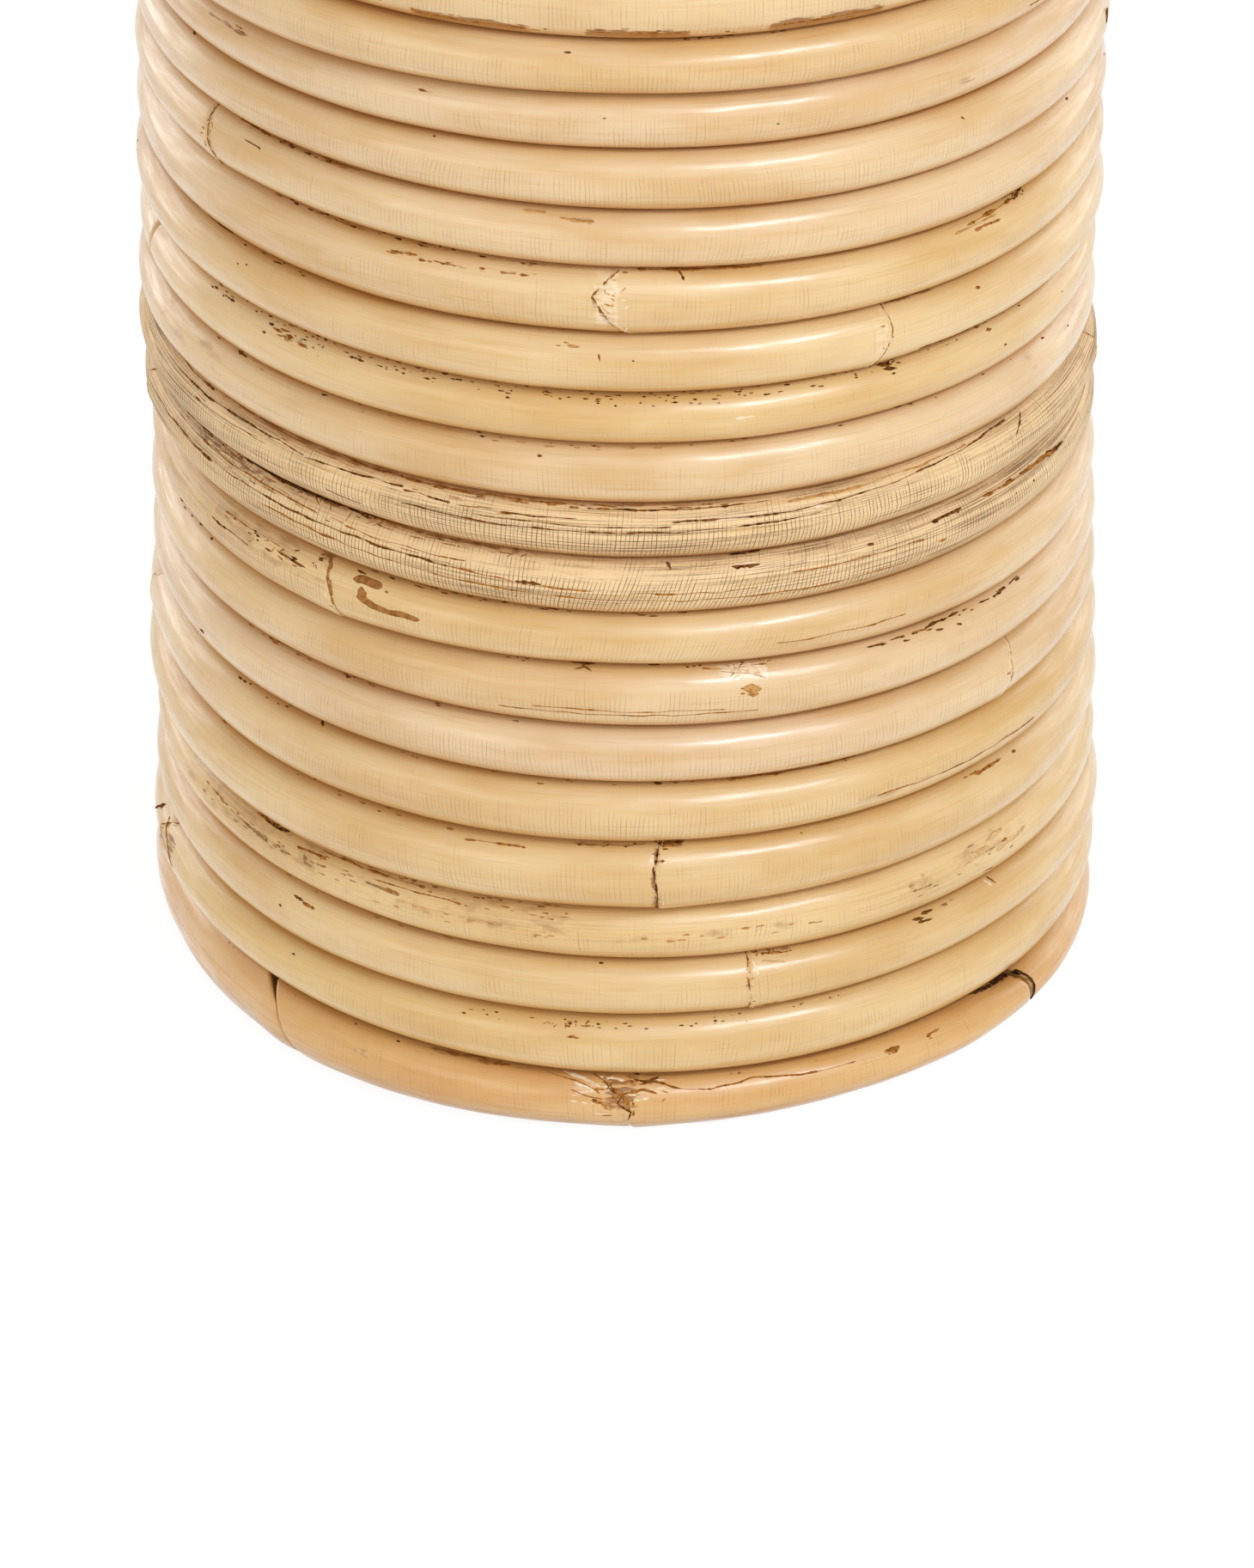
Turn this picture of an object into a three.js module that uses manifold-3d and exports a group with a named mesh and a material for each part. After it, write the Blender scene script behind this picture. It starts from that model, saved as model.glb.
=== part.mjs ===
// A tall round vase wound from whole rattan poles, open at the top.
// The poles lie end to end in one rising winding, nailed from inside to four split-cane uprights.
// The winding rests on a ring of four foot poles, and a round base board is pinned inside that ring.
// Millimetres, +Z up, origin in the middle of the underside. Azimuths are in degrees from the front,
// which is -Y, towards +X. The winding climbs as the azimuth falls.

import * as THREE from 'three';
import { mergeVertices } from 'three/addons/utils/BufferGeometryUtils.js';
import Module from 'manifold-3d';

const wasm = await Module();
wasm.setup();

// Inside of the wall
const innerRadiusAtFoot = 89.7;
const innerRadiusAtRim = 85.4;

// The winding: the poles from the foot up, each a little thinner at its far end than at its start,
// with what either end has over the thickness that the poles are sorted to
const poleThickness = 12.8;
const wallPoles = [
  { name: 'wall_pole_1', turns: 3.125, extraAtStart: 0.8, extraAtEnd: -0.4 },
  { name: 'wall_pole_2', turns: 8.75, extraAtStart: 1.4, extraAtEnd: -1.4 },
  { name: 'wall_pole_3', turns: 5.25, extraAtStart: 0.1, extraAtEnd: -1.6 },
  { name: 'wall_pole_4', turns: 6.75, extraAtStart: 0.2, extraAtEnd: -1 },
  { name: 'wall_pole_5', turns: 6.125, extraAtStart: 0, extraAtEnd: -0.8 },
];
const startAzimuth = 240;
const unevenClimb = 0.9;      // by which the rows tilt, down to the right and up to the left
const stepsPerTurn = 24;
const turnGap = 0.5;
const buttGap = 0.4;
const matchedTurns = 0.25;    // over which a pole is shaved to the thickness of the one before it
const paredTurns = 0.5;       // over which the first and the last end are pared to a tip
const tipThickness = 4;

// The foot ring
const footHeightAtFront = 13.3;
const footWidth = 13.6;
const footNames = ['back', 'right', 'front', 'left'];
const footJoints = [148, 54, -45];   // azimuths; the fourth joint is under the start of the winding
const footArcStep = 7.5;      // degrees
const footSides = 10;
const footFlatShare = 0.1;    // of a foot pole's thickness, planed off underneath

// The base board
const boardThickness = 6;
const boardUnderside = 4.5;   // above the table
const boardGap = 0.3;
const boardSegments = 48;

// The uprights, half-round split cane with the flat side to the wall
const uprightNames = ['front', 'right', 'back', 'left'];
const uprightWidth = 12;
const uprightDepth = 5;
const uprightGap = 0.3;
const uprightBelowRim = 9;
const uprightCurvePoints = 10;

// Nails through the uprights into the winding, and headless pins through the board's edge
const nailsPerUpright = 3;
const nailShankRadius = 0.7;
const nailHeadRadius = 1.7;
const nailHeadThickness = 0.6;
const nailDepthInPole = 8;
const nailTipLength = 1.5;
const pinCount = 6;
const pinRadius = 0.6;
const pinLength = 12;
const pinSlope = 30;          // degrees below level
const pinFromEdge = 5;        // from the board's edge to where the pin goes in
const pinSetBelow = 0.5;      // below the board's top
const firstPinAzimuth = 22.5;
const holeClearance = 0.3;
const nailSides = 8;
const holeSides = 6;

const caneSkin = new THREE.MeshStandardMaterial({ color: 0xe9cb98, roughness: 0.38, metalness: 0 });
const footSkin = new THREE.MeshStandardMaterial({ color: 0xdcb081, roughness: 0.45, metalness: 0 });
const splitCane = new THREE.MeshStandardMaterial({ color: 0xd8bd8c, roughness: 0.7, metalness: 0 });
const plywood = new THREE.MeshStandardMaterial({ color: 0xc9a877, roughness: 0.75, metalness: 0 });
const steel = new THREE.MeshStandardMaterial({ color: 0x8c8f94, roughness: 0.35, metalness: 1 });

const { lerp, degToRad, smoothstep } = THREE.MathUtils;

// Where each pole of the winding starts and ends, in steps of the turn
let stepsSoFar = 0;
for (const pole of wallPoles) {
  pole.firstStep = stepsSoFar;
  stepsSoFar += Math.round(pole.turns * stepsPerTurn);
  pole.lastStep = stepsSoFar;
}
const lastStep = stepsSoFar;
const azimuthOf = (step) => startAzimuth - step * 360 / stepsPerTurn;

// A pole's own thickness at a step, which is also its width across the wall
function thicknessAt(step) {
  const index = wallPoles.findIndex((pole) => step <= pole.lastStep);
  const pole = wallPoles[index];
  const share = (step - pole.firstStep) / (pole.lastStep - pole.firstStep);
  const own = poleThickness + lerp(pole.extraAtStart, pole.extraAtEnd, share);
  if (index === 0) return own;
  const before = poleThickness + wallPoles[index - 1].extraAtEnd;
  const matchedTo = pole.firstStep + matchedTurns * stepsPerTurn;
  return lerp(before, own, smoothstep(step, pole.firstStep, matchedTo));
}

// The height left of it where the first and the last end are pared
function turnHeight(step) {
  const paredSteps = paredTurns * stepsPerTurn;
  const fromEnd = Math.min(step, lastStep - step);
  const full = thicknessAt(step);
  return fromEnd < paredSteps ? lerp(tipThickness, full, fromEnd / paredSteps) : full;
}

// The lines along the top and the underside of the winding, step by step. The first turn climbs
// by as much as the second needs, so that the second passes over the start of the first.
const frontStep = startAzimuth / 360 * stepsPerTurn;
const firstRise = turnHeight(stepsPerTurn) + turnGap;
const firstTop = footHeightAtFront + turnGap + turnHeight(frontStep)
  - firstRise * frontStep / stepsPerTurn;
const firstTopAt = (step) => firstTop + firstRise * step / stepsPerTurn
  - unevenClimb * Math.sin(degToRad(azimuthOf(step)));
const topLine = [];
for (let step = 0; step <= lastStep; step++) {
  topLine.push(step < stepsPerTurn
    ? firstTopAt(step)
    : topLine[step - stepsPerTurn] + turnGap + turnHeight(step));
}
const underLine = topLine.map((top, step) => top - turnHeight(step));
const rimLine = topLine.slice(-stepsPerTurn);
const height = Math.max(...rimLine);

const innerRadius = (z) => lerp(innerRadiusAtFoot, innerRadiusAtRim, z / height);
const facetInset = Math.cos(Math.PI / stepsPerTurn);

// The direction of +X turned to an azimuth
const turnTo = (azimuth) => degToRad(azimuth - 90);

function pointAt(azimuth, radius, z) {
  return new THREE.Vector3(radius, 0, z).applyAxisAngle(new THREE.Vector3(0, 0, 1), turnTo(azimuth));
}

// A closed tube through rings of points, each ring running outside, top, inside
function tubeThrough(rings) {
  const sides = rings[0].length;
  const positions = rings.flat().flatMap((point) => point.toArray());
  const faces = [];
  for (let ring = 0; ring < rings.length - 1; ring++) {
    for (let side = 0; side < sides; side++) {
      const next = (side + 1) % sides;
      const a = ring * sides + side;
      const b = ring * sides + next;
      const c = (ring + 1) * sides + next;
      const d = (ring + 1) * sides + side;
      faces.push(a, b, c, a, c, d);
    }
  }
  const lastRing = (rings.length - 1) * sides;
  for (let side = 1; side < sides - 1; side++) {
    faces.push(0, side + 1, side);
    faces.push(lastRing, lastRing + side, lastRing + side + 1);
  }
  const geometry = new THREE.BufferGeometry();
  geometry.setAttribute('position', new THREE.Float32BufferAttribute(positions, 3));
  geometry.setIndex(faces);
  geometry.computeVertexNormals();
  return geometry;
}

// The six corners of the winding's section at a whole step
function windingRing(step) {
  const middle = (topLine[step] + underLine[step]) / 2;
  const halfHeight = turnHeight(step) / 2;
  const halfWidth = thicknessAt(step) / 2;
  const radius = innerRadius(middle) + halfWidth;
  const corners = [[1, -0.5], [1, 0.5], [0, 1], [-1, 0.5], [-1, -0.5], [0, -1]];
  return corners.map(([across, up]) => (
    pointAt(azimuthOf(step), radius + across * halfWidth, middle + up * halfHeight)));
}

// A ring between two steps, on the flat facets that join them
function ringBetween(stepA, stepB, share) {
  const ringB = windingRing(stepB);
  return windingRing(stepA).map((point, corner) => point.lerp(ringB[corner], share));
}

function wallPoleRings(pole) {
  const stepLength = 2 * Math.PI * innerRadiusAtFoot / stepsPerTurn;
  const endShare = buttGap / 2 / stepLength;
  const rings = [ringBetween(pole.firstStep, pole.firstStep + 1, endShare)];
  for (let step = pole.firstStep + 1; step < pole.lastStep; step++) rings.push(windingRing(step));
  rings.push(ringBetween(pole.lastStep, pole.lastStep - 1, endShare));
  return rings;
}

// The least distance between the corners and mid-edges of one turn and of the next
function leastGap(rings) {
  const points = rings.map((ring) => ring.flatMap((point, corner) => (
    [point, point.clone().lerp(ring[(corner + 1) % ring.length], 0.5)])));
  let least = Infinity;
  for (let ring = 0; ring < points.length; ring++) {
    for (const other of [-1, 0, 1].map((offset) => points[ring + stepsPerTurn + offset])) {
      for (const a of points[ring]) {
        for (const b of other ?? []) least = Math.min(least, a.distanceTo(b));
      }
    }
  }
  return least;
}

// The foot poles fill the space between the table and the first turn
function footHeight(azimuth) {
  const step = ((startAzimuth - azimuth) / 360) * stepsPerTurn;
  const below = Math.min(Math.floor(step), stepsPerTurn - 1);
  return lerp(underLine[below], underLine[below + 1], step - below) - turnGap;
}

function footRing(azimuth) {
  const halfHeight = footHeight(azimuth) / (2 - 2 * footFlatShare);
  const middle = footHeight(azimuth) - halfHeight;
  const halfWidth = footWidth / 2;
  const flatAngle = Math.asin(middle / halfHeight);
  const ring = [];
  for (let side = 0; side <= footSides; side++) {
    const angle = lerp(-flatAngle, Math.PI + flatAngle, side / footSides);
    const radius = innerRadiusAtFoot + halfWidth + halfWidth * Math.cos(angle);
    ring.push(pointAt(azimuth, radius, middle + halfHeight * Math.sin(angle)));
  }
  return ring;
}

function footPole(from, to) {
  const halfGap = THREE.MathUtils.radToDeg(buttGap / 2 / innerRadiusAtFoot);
  const steps = Math.ceil((to - from) / footArcStep);
  const rings = [];
  for (let step = 0; step <= steps; step++) {
    rings.push(footRing(lerp(to - halfGap, from + halfGap, step / steps)));
  }
  return tubeThrough(rings);
}

// Half-round split cane standing on its end, flat side at x = 0, round side towards -X
function uprightGeometry(length) {
  const outline = new THREE.Shape();
  outline.absellipse(0, 0, uprightDepth, uprightWidth / 2, Math.PI / 2, 3 * Math.PI / 2, false, 0);
  return new THREE.ExtrudeGeometry(outline, {
    depth: length,
    bevelEnabled: false,
    curveSegments: uprightCurvePoints,
  });
}

// A round solid along +X from a profile of [x, radius] pairs
function turned(profile, sides) {
  const points = profile.map(([x, radius]) => new THREE.Vector2(radius, x));
  return new THREE.LatheGeometry(points, sides).rotateZ(-Math.PI / 2);
}

function nailGeometry(length) {
  return turned([
    [-nailHeadThickness, 0],
    [-nailHeadThickness, nailHeadRadius],
    [0, nailHeadRadius],
    [0, nailShankRadius],
    [length - nailTipLength, nailShankRadius],
    [length, 0],
  ], nailSides);
}

function pinGeometry() {
  return turned([
    [0, 0],
    [0, pinRadius],
    [pinLength - nailTipLength, pinRadius],
    [pinLength, 0],
  ], nailSides);
}

// The hole for a nail or a pin, its flats clear of the shank all round
function holeGeometry(shankRadius, from, length) {
  const radius = (shankRadius + holeClearance) / Math.cos(Math.PI / holeSides);
  const end = length + holeClearance;
  return turned([[from, 0], [from, radius], [end, radius], [end, 0]], holeSides);
}

function solidOf(geometry) {
  const bare = geometry.clone();
  bare.deleteAttribute('normal');
  bare.deleteAttribute('uv');
  const merged = mergeVertices(bare, 1e-4);
  return new wasm.Manifold(new wasm.Mesh({
    numProp: 3,
    vertProperties: new Float32Array(merged.attributes.position.array),
    triVerts: new Uint32Array(merged.index.array),
  }));
}

// Cuts holes, given where they lie in the whole object, out of a placed mesh
function drill(mesh, holes) {
  const toMesh = mesh.matrixWorld.clone().invert();
  let solid = solidOf(mesh.geometry);
  for (const hole of holes) solid = solid.subtract(solidOf(hole.clone().applyMatrix4(toMesh)));
  const result = solid.getMesh();
  const geometry = new THREE.BufferGeometry();
  geometry.setAttribute('position', new THREE.BufferAttribute(result.vertProperties, 3));
  geometry.setIndex(new THREE.BufferAttribute(result.triVerts, 1));
  geometry.computeVertexNormals();
  mesh.geometry = geometry;
}

function named(name, geometry, material) {
  const mesh = new THREE.Mesh(geometry, material);
  mesh.name = name;
  return mesh;
}

const vase = new THREE.Group();

// Winding
const winding = wallPoles.map((pole) => {
  const rings = wallPoleRings(pole);
  console.log(`${pole.name}: least gap to itself ${leastGap(rings).toFixed(2)} mm`);
  return named(pole.name, tubeThrough(rings), caneSkin);
});
vase.add(...winding);

// Foot ring and board
const footEnds = [startAzimuth, ...footJoints, startAzimuth - 360];
const foot = footNames.map((side, index) => (
  named(`foot_pole_${side}`, footPole(footEnds[index + 1], footEnds[index]), footSkin)));
vase.add(...foot);

const boardRadius = innerRadiusAtFoot * Math.cos(degToRad(footArcStep / 2)) - boardGap;
const boardTop = boardUnderside + boardThickness;
const boardShape = new THREE.CylinderGeometry(boardRadius, boardRadius, boardThickness, boardSegments);
const board = named('base_board', boardShape.rotateX(Math.PI / 2), plywood);
board.position.z = boardUnderside + boardThickness / 2;
vase.add(board);

// Uprights with their nails, each against the middle of a flat facet of the winding
const nailHoles = [];
const uprights = [];
const uprightFoot = boardTop + uprightGap;
const uprightTop = Math.min(...rimLine) - uprightBelowRim;
const lean = Math.atan((innerRadiusAtFoot - innerRadiusAtRim) * facetInset / height);
const turnsUp = Math.floor(lastStep / stepsPerTurn);
uprightNames.forEach((side, quarter) => {
  const bayStep = Math.round(frontStep - quarter * stepsPerTurn / 4 + stepsPerTurn) % stepsPerTurn;
  const bay = new THREE.Group();
  bay.rotation.z = turnTo(azimuthOf(bayStep + 0.5));
  vase.add(bay);

  const faceAt = (z) => innerRadius(z) * facetInset - uprightGap;
  const length = (uprightTop - uprightFoot) / Math.cos(lean);
  const upright = named(`upright_${side}`, uprightGeometry(length), splitCane);
  upright.position.set(faceAt(uprightFoot), 0, uprightFoot);
  upright.rotation.y = -lean;
  bay.add(upright);
  uprights.push(upright);

  for (let nail = 1; nail <= nailsPerUpright; nail++) {
    const turn = Math.round(nail / (nailsPerUpright + 1) * (turnsUp - 1));
    const step = turn * stepsPerTurn + bayStep;
    const z = (topLine[step] + underLine[step] + topLine[step + 1] + underLine[step + 1]) / 4;
    const seat = faceAt(z) - uprightDepth / Math.cos(lean) - uprightGap;
    const nailLength = innerRadius(z) * facetInset + nailDepthInPole - seat;
    const mesh = named(`upright_nail_${side}_${nail}`, nailGeometry(nailLength), steel);
    mesh.position.set(seat, 0, z);
    bay.add(mesh);
    mesh.updateWorldMatrix(true, false);
    const hole = holeGeometry(nailShankRadius, -nailHeadThickness, nailLength);
    nailHoles.push(hole.applyMatrix4(mesh.matrixWorld));
  }
});

// Pins that slope down through the edge of the board into the foot poles
const pinHoles = [];
for (let pin = 0; pin < pinCount; pin++) {
  const bay = new THREE.Group();
  bay.rotation.z = turnTo(firstPinAzimuth + pin * 360 / pinCount);
  vase.add(bay);
  const mesh = named(`base_pin_${pin + 1}`, pinGeometry(), steel);
  mesh.position.set(boardRadius - pinFromEdge, 0, boardTop - pinSetBelow);
  mesh.rotation.y = degToRad(pinSlope);
  bay.add(mesh);
  mesh.updateWorldMatrix(true, false);
  const hole = holeGeometry(pinRadius, -boardThickness, pinLength);
  pinHoles.push(hole.applyMatrix4(mesh.matrixWorld));
}

vase.updateMatrixWorld(true);
for (const mesh of [...uprights, ...winding]) drill(mesh, nailHoles);
for (const mesh of [board, ...foot]) drill(mesh, pinHoles);

console.log(`height ${height.toFixed(1)} mm`);
console.log(`foot ${footHeight(startAzimuth - 360).toFixed(1)} mm thick at its highest`);

export default vase;
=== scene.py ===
# A tall round vase wound from whole rattan poles, dressed for a product picture.
# The script's own lengths are millimetres; meshes are made in metres, +Z up.
# Azimuths are degrees from the front, which is -Y, towards +X. The winding climbs as the azimuth falls.

import math

import bpy
import numpy as np
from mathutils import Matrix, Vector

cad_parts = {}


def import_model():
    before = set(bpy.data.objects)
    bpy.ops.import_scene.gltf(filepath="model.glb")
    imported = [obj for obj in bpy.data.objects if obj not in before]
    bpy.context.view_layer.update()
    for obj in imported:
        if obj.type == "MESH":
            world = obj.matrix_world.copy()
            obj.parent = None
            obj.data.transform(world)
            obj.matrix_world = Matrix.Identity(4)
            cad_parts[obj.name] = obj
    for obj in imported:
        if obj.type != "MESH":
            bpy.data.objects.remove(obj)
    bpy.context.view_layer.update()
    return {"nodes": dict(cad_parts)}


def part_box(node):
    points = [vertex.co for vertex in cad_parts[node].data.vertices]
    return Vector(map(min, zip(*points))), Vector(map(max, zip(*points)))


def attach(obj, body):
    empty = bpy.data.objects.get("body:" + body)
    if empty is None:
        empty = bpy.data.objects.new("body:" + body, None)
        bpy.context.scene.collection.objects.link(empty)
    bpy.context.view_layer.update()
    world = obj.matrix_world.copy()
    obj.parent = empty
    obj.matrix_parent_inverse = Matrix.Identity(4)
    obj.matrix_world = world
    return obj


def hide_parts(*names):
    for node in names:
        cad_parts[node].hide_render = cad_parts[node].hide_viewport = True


mm = 0.001
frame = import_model()
print("frame loaded,", len(frame["nodes"]), "CAD nodes")


# Seeded unevenness

tableSize = 1024  # random numbers, after which a line repeats
tableStart = 300  # where place 0 lies in them


def smoothStep(x, low, high):
    share = np.clip((x - low) / (high - low), 0, 1)
    return share * share * (3 - 2 * share)


def wander(x, step, seed):
    # a smooth line that wanders between about -1 and 1, with a turn every step
    table = np.random.RandomState(seed).uniform(-1, 1, tableSize)
    place = np.asarray(x, float) / step + tableStart
    cell = np.floor(place).astype(int)
    share = smoothStep(place - cell, 0, 1)
    return table[cell % tableSize] * (1 - share) + table[(cell + 1) % tableSize] * share


def dapple(along, angle, step, cells, seed):
    # the same over a pole's surface: a turn every step along it, and so many cells around it
    table = np.random.RandomState(seed).uniform(-1, 1, (tableSize, cells))
    place = np.asarray(along, float) / step + tableStart
    around = (np.asarray(angle, float) % 360) / 360 * cells
    row = np.floor(place).astype(int)
    column = np.floor(around).astype(int)
    down = smoothStep(place - row, 0, 1)
    across = smoothStep(around - column, 0, 1)
    row, column = row % tableSize, column % cells
    nextRow, nextColumn = (row + 1) % tableSize, (column + 1) % cells
    near = table[row, column] * (1 - across) + table[row, nextColumn] * across
    far = table[nextRow, column] * (1 - across) + table[nextRow, nextColumn] * across
    return near * (1 - down) + far * down


def drift(along, look):
    by, step, seed = look
    return by * wander(along, step, seed)


def dents(along, angle, layers):
    return sum(by * dapple(along, angle, step, cells, seed) for by, step, cells, seed in layers)


# The winding's lines, as the CAD has them, with the unevenness of the real one

winding = {
    "innerRadiusAtFoot": 89.7,
    "innerRadiusAtRim": 85.4,
    "poleThickness": 12.8,
    "poles": [  # name, turns, what either end has over the thickness
        ("wall_pole_1", 3.125, 0.8, -0.4),
        ("wall_pole_2", 8.75, 1.4, -1.4),
        ("wall_pole_3", 5.25, 0.1, -1.6),
        ("wall_pole_4", 6.75, 0.2, -1),
        ("wall_pole_5", 6.125, 0, -0.8),
    ],
    "startAzimuth": 240,
    "unevenClimb": 0.9,
    "turnGap": 0.5,
    "buttGap": 0.4,
    "matchedTurns": 0.25,
    "paredTurns": 0.5,
    "tipThickness": 4,
    "samplesPerTurn": 720,
    # how far the seam under a row lies off the even winding 45 degrees left, in front and right
    "seamLifts": {
        2: (0, -0.8, 0), 3: (-0.8, 0, 1.2), 5: (-1, -0.2, 1), 6: (0, 1.2, 2), 7: (0.6, 1, 1),
        9: (0.2, 1.2, 0), 10: (0.4, -0.5, 0.3), 11: (0.2, -1, -0.2), 12: (-1.5, -1.5, -0.5),
        13: (-1.2, -0.2, 0), 14: (-0.5, -0.7, -0.5), 16: (1.2, 0.4, -1), 17: (0.7, 0.4, -0.4),
        18: (0, 0.8, 0.4), 19: (-0.8, 1, 0.3), 20: (-1, -1, -0.8), 22: (0, 0, 0),
    },
    "liftAzimuth": 45,
    "liftBlur": 20,  # degrees
    # where the wall stands out or in: azimuth, height, spread in height, by how much
    "bulges": [(-85, 80, 32, -1.4), (-88, 120, 22, -1.4), (-80, 152, 20, 1.7), (85, 32, 20, 2.9),
               (88, 214, 14, 1.6)],
    "bulgeSpread": 32,  # degrees
    # how far the poles stray: millimetres, how far apart the turns of it are, seed
    "radialWander": (0.3, 95, 5),
    "pitchWander": (0.12, 110, 11),
    # dents: depth, how far apart along the pole, how many around it, seed
    "dents": ((0.07, 17, 8, 3), (0.035, 6, 16, 4)),
    "dentlessThickness": (3, 6),  # half thicknesses between which the dents come in
    "dentsUpward": 0.6,  # share of a dent that also acts up and down
}

rowAtFront = winding["startAzimuth"] / 360  # turns from the start to the front, which is row 2
turnLength = 2 * math.pi * (winding["innerRadiusAtFoot"] + winding["poleThickness"] / 2)
perDegree = turnLength / 360  # millimetres along the winding
perAngle = math.pi / 180 * winding["poleThickness"] / 2  # millimetres around a pole


def turnsAt(row, azimuth):
    return row - 2 + rowAtFront - np.asarray(azimuth, float) / 360


def azimuthAt(turns):
    return winding["startAzimuth"] - 360 * np.asarray(turns, float)


def fromFront(azimuth):
    # the same azimuth, between -180 and 180
    return (azimuth + 180) % 360 - 180


def rowOf(turns):
    azimuth = fromFront(azimuthAt(turns))
    return turns + 2 - rowAtFront + azimuth / 360, azimuth


class Lines:
    # heights of the seams between turns, and thicknesses, at any place along the winding
    def __init__(self, w):
        samples = w["samplesPerTurn"]
        ends = np.cumsum([0] + [pole[1] for pole in w["poles"]])
        self.poleSpans = {pole[0]: (ends[i], ends[i + 1]) for i, pole in enumerate(w["poles"])}
        self.total = ends[-1]
        turns = np.arange(int(self.total * samples) + 1) / samples
        thick = np.zeros_like(turns)
        before = None
        for i, (name, count, extraStart, extraEnd) in enumerate(w["poles"]):
            inside = (turns > ends[i]) | (i == 0)
            share = (turns - ends[i]) / count
            own = w["poleThickness"] + extraStart + (extraEnd - extraStart) * share
            if before is not None:
                own = before + (own - before) * smoothStep(turns, ends[i], ends[i] + w["matchedTurns"])
            thick = np.where(inside, own, thick)
            before = w["poleThickness"] + extraEnd
        fromEnd = np.minimum(turns, self.total - turns) / w["paredTurns"]
        tall = np.where(fromEnd < 1, w["tipThickness"] + (thick - w["tipThickness"]) * fromEnd, thick)
        rise = tall[samples] + w["turnGap"]
        front = int(rowAtFront * samples)
        start = foot["heightAtFront"] + w["turnGap"] + tall[front] - rise * rowAtFront
        first = turns[:samples]
        top = np.zeros_like(turns)
        top[:samples] = start + rise * first - w["unevenClimb"] * np.sin(np.radians(azimuthAt(first)))
        for i in range(samples, len(turns), samples):
            part = slice(i, min(i + samples, len(turns)))
            top[part] = top[i - samples:part.stop - samples] + w["turnGap"] + tall[part]
        seam = np.concatenate([
            top - tall - w["turnGap"] / 2, top[1 - samples:] + w["turnGap"] / 2,
            [top[-1] + w["turnGap"] / 2],
        ])
        self.height = float(top.max())
        self.turns = np.arange(len(seam)) / samples
        self.thick = np.interp(self.turns, turns, thick)
        self.seam = seam + self.lifts(self.turns, w)
        self.seam += drift(self.turns * turnLength, w["pitchWander"]) * (self.turns > 1)

    def lifts(self, turns, w):
        places, values = [0], [0]
        aside = w["liftAzimuth"]
        for row, lifts in sorted(w["seamLifts"].items()):
            for azimuth, lift in zip((aside, 0, -aside), reversed(lifts)):
                places.append(float(turnsAt(row, azimuth)))
                values.append(lift)
        order = np.argsort(places)
        places, values = np.array(places)[order], np.array(values, float)[order]
        blurred = np.interp(turns, places, values, right=0)
        width = w["samplesPerTurn"] * w["liftBlur"] // 360
        return np.convolve(blurred, np.hanning(width) / np.hanning(width).sum(), mode="same")

    def seamAt(self, turns):
        return np.interp(turns, self.turns, self.seam)

    def thickAt(self, turns):
        return np.interp(turns, self.turns, self.thick)


foot = {
    "heightAtFront": 13.3,
    "width": 13.6,
    "flatShare": 0.02,  # of its height, worn off underneath
    "poles": [  # name, the two ends: azimuths of the cut at the top, the middle and the bottom
        ("foot_pole_back", (148, 148.4, 149), (240, 240, 240)),
        ("foot_pole_right", (57.4, 57.8, 58.6), (148, 148.4, 149)),
        ("foot_pole_front", (-48.3, -45.6, -42), (57.0, 57.6, 57.2)),
        ("foot_pole_left", (-120, -120, -120), (-49.6, -45.8, -42)),
    ],
    # where an end is worn or stands out: azimuth of the joint, side of it, by how much, over what
    # length and only above an angle around the pole
    "ends": [
        (-45.6, -1, 0.9, 7, -90), (-45.6, 1, -0.3, 8, -90), (57.6, -1, -2.0, 9, 25),
        (57.6, 1, -0.5, 5, 20),
    ],
    "endBehind": 8,  # millimetres past the joint, which its slant needs
    "endFade": 60, "endTo": 150,  # degrees around the pole
    # how much fuller the outer half of a pole is: azimuths and millimetres
    "fuller": {
        "foot_pole_left": ((-90, 0), (-72, -1.7), (-40, -1.7)),
        "foot_pole_front": ((30, 0), (46, 1.6), (70, 1.6)),
        "foot_pole_right": ((40, 1.6), (64, 1.6), (92, 0)),
    },
    "jointGap": 0.36, "cutFade": 16,
    "step": 1.5, "nodeStep": 0.5, "nodeReach": 5, "least": 0.15,
    "level": 7,  # at which the wall's bulges are taken
    "radialWander": (0.15, 80, 51),
    "dents": ((0.08, 19, 7, 53), (0.04, 6, 14, 54)),
}

lines = Lines(winding)
print("winding worked out, %.1f mm high" % lines.height)


def innerRadius(height):
    low, high = winding["innerRadiusAtFoot"], winding["innerRadiusAtRim"]
    return low + (high - low) * np.clip(height / lines.height, 0, 1)


def bulge(azimuth, height):
    out = 0
    for middle, level, spread, by in winding["bulges"]:
        aside = fromFront(np.asarray(azimuth, float) - middle)
        away = -(aside / winding["bulgeSpread"]) ** 2 - ((height - level) / spread) ** 2
        out = out + by * np.exp(away)
    return out


# Nodes of the poles: row, azimuths of the ring at the top, the middle and the bottom of what shows,
# how far the right side stands above the left, how dark the crease is

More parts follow.
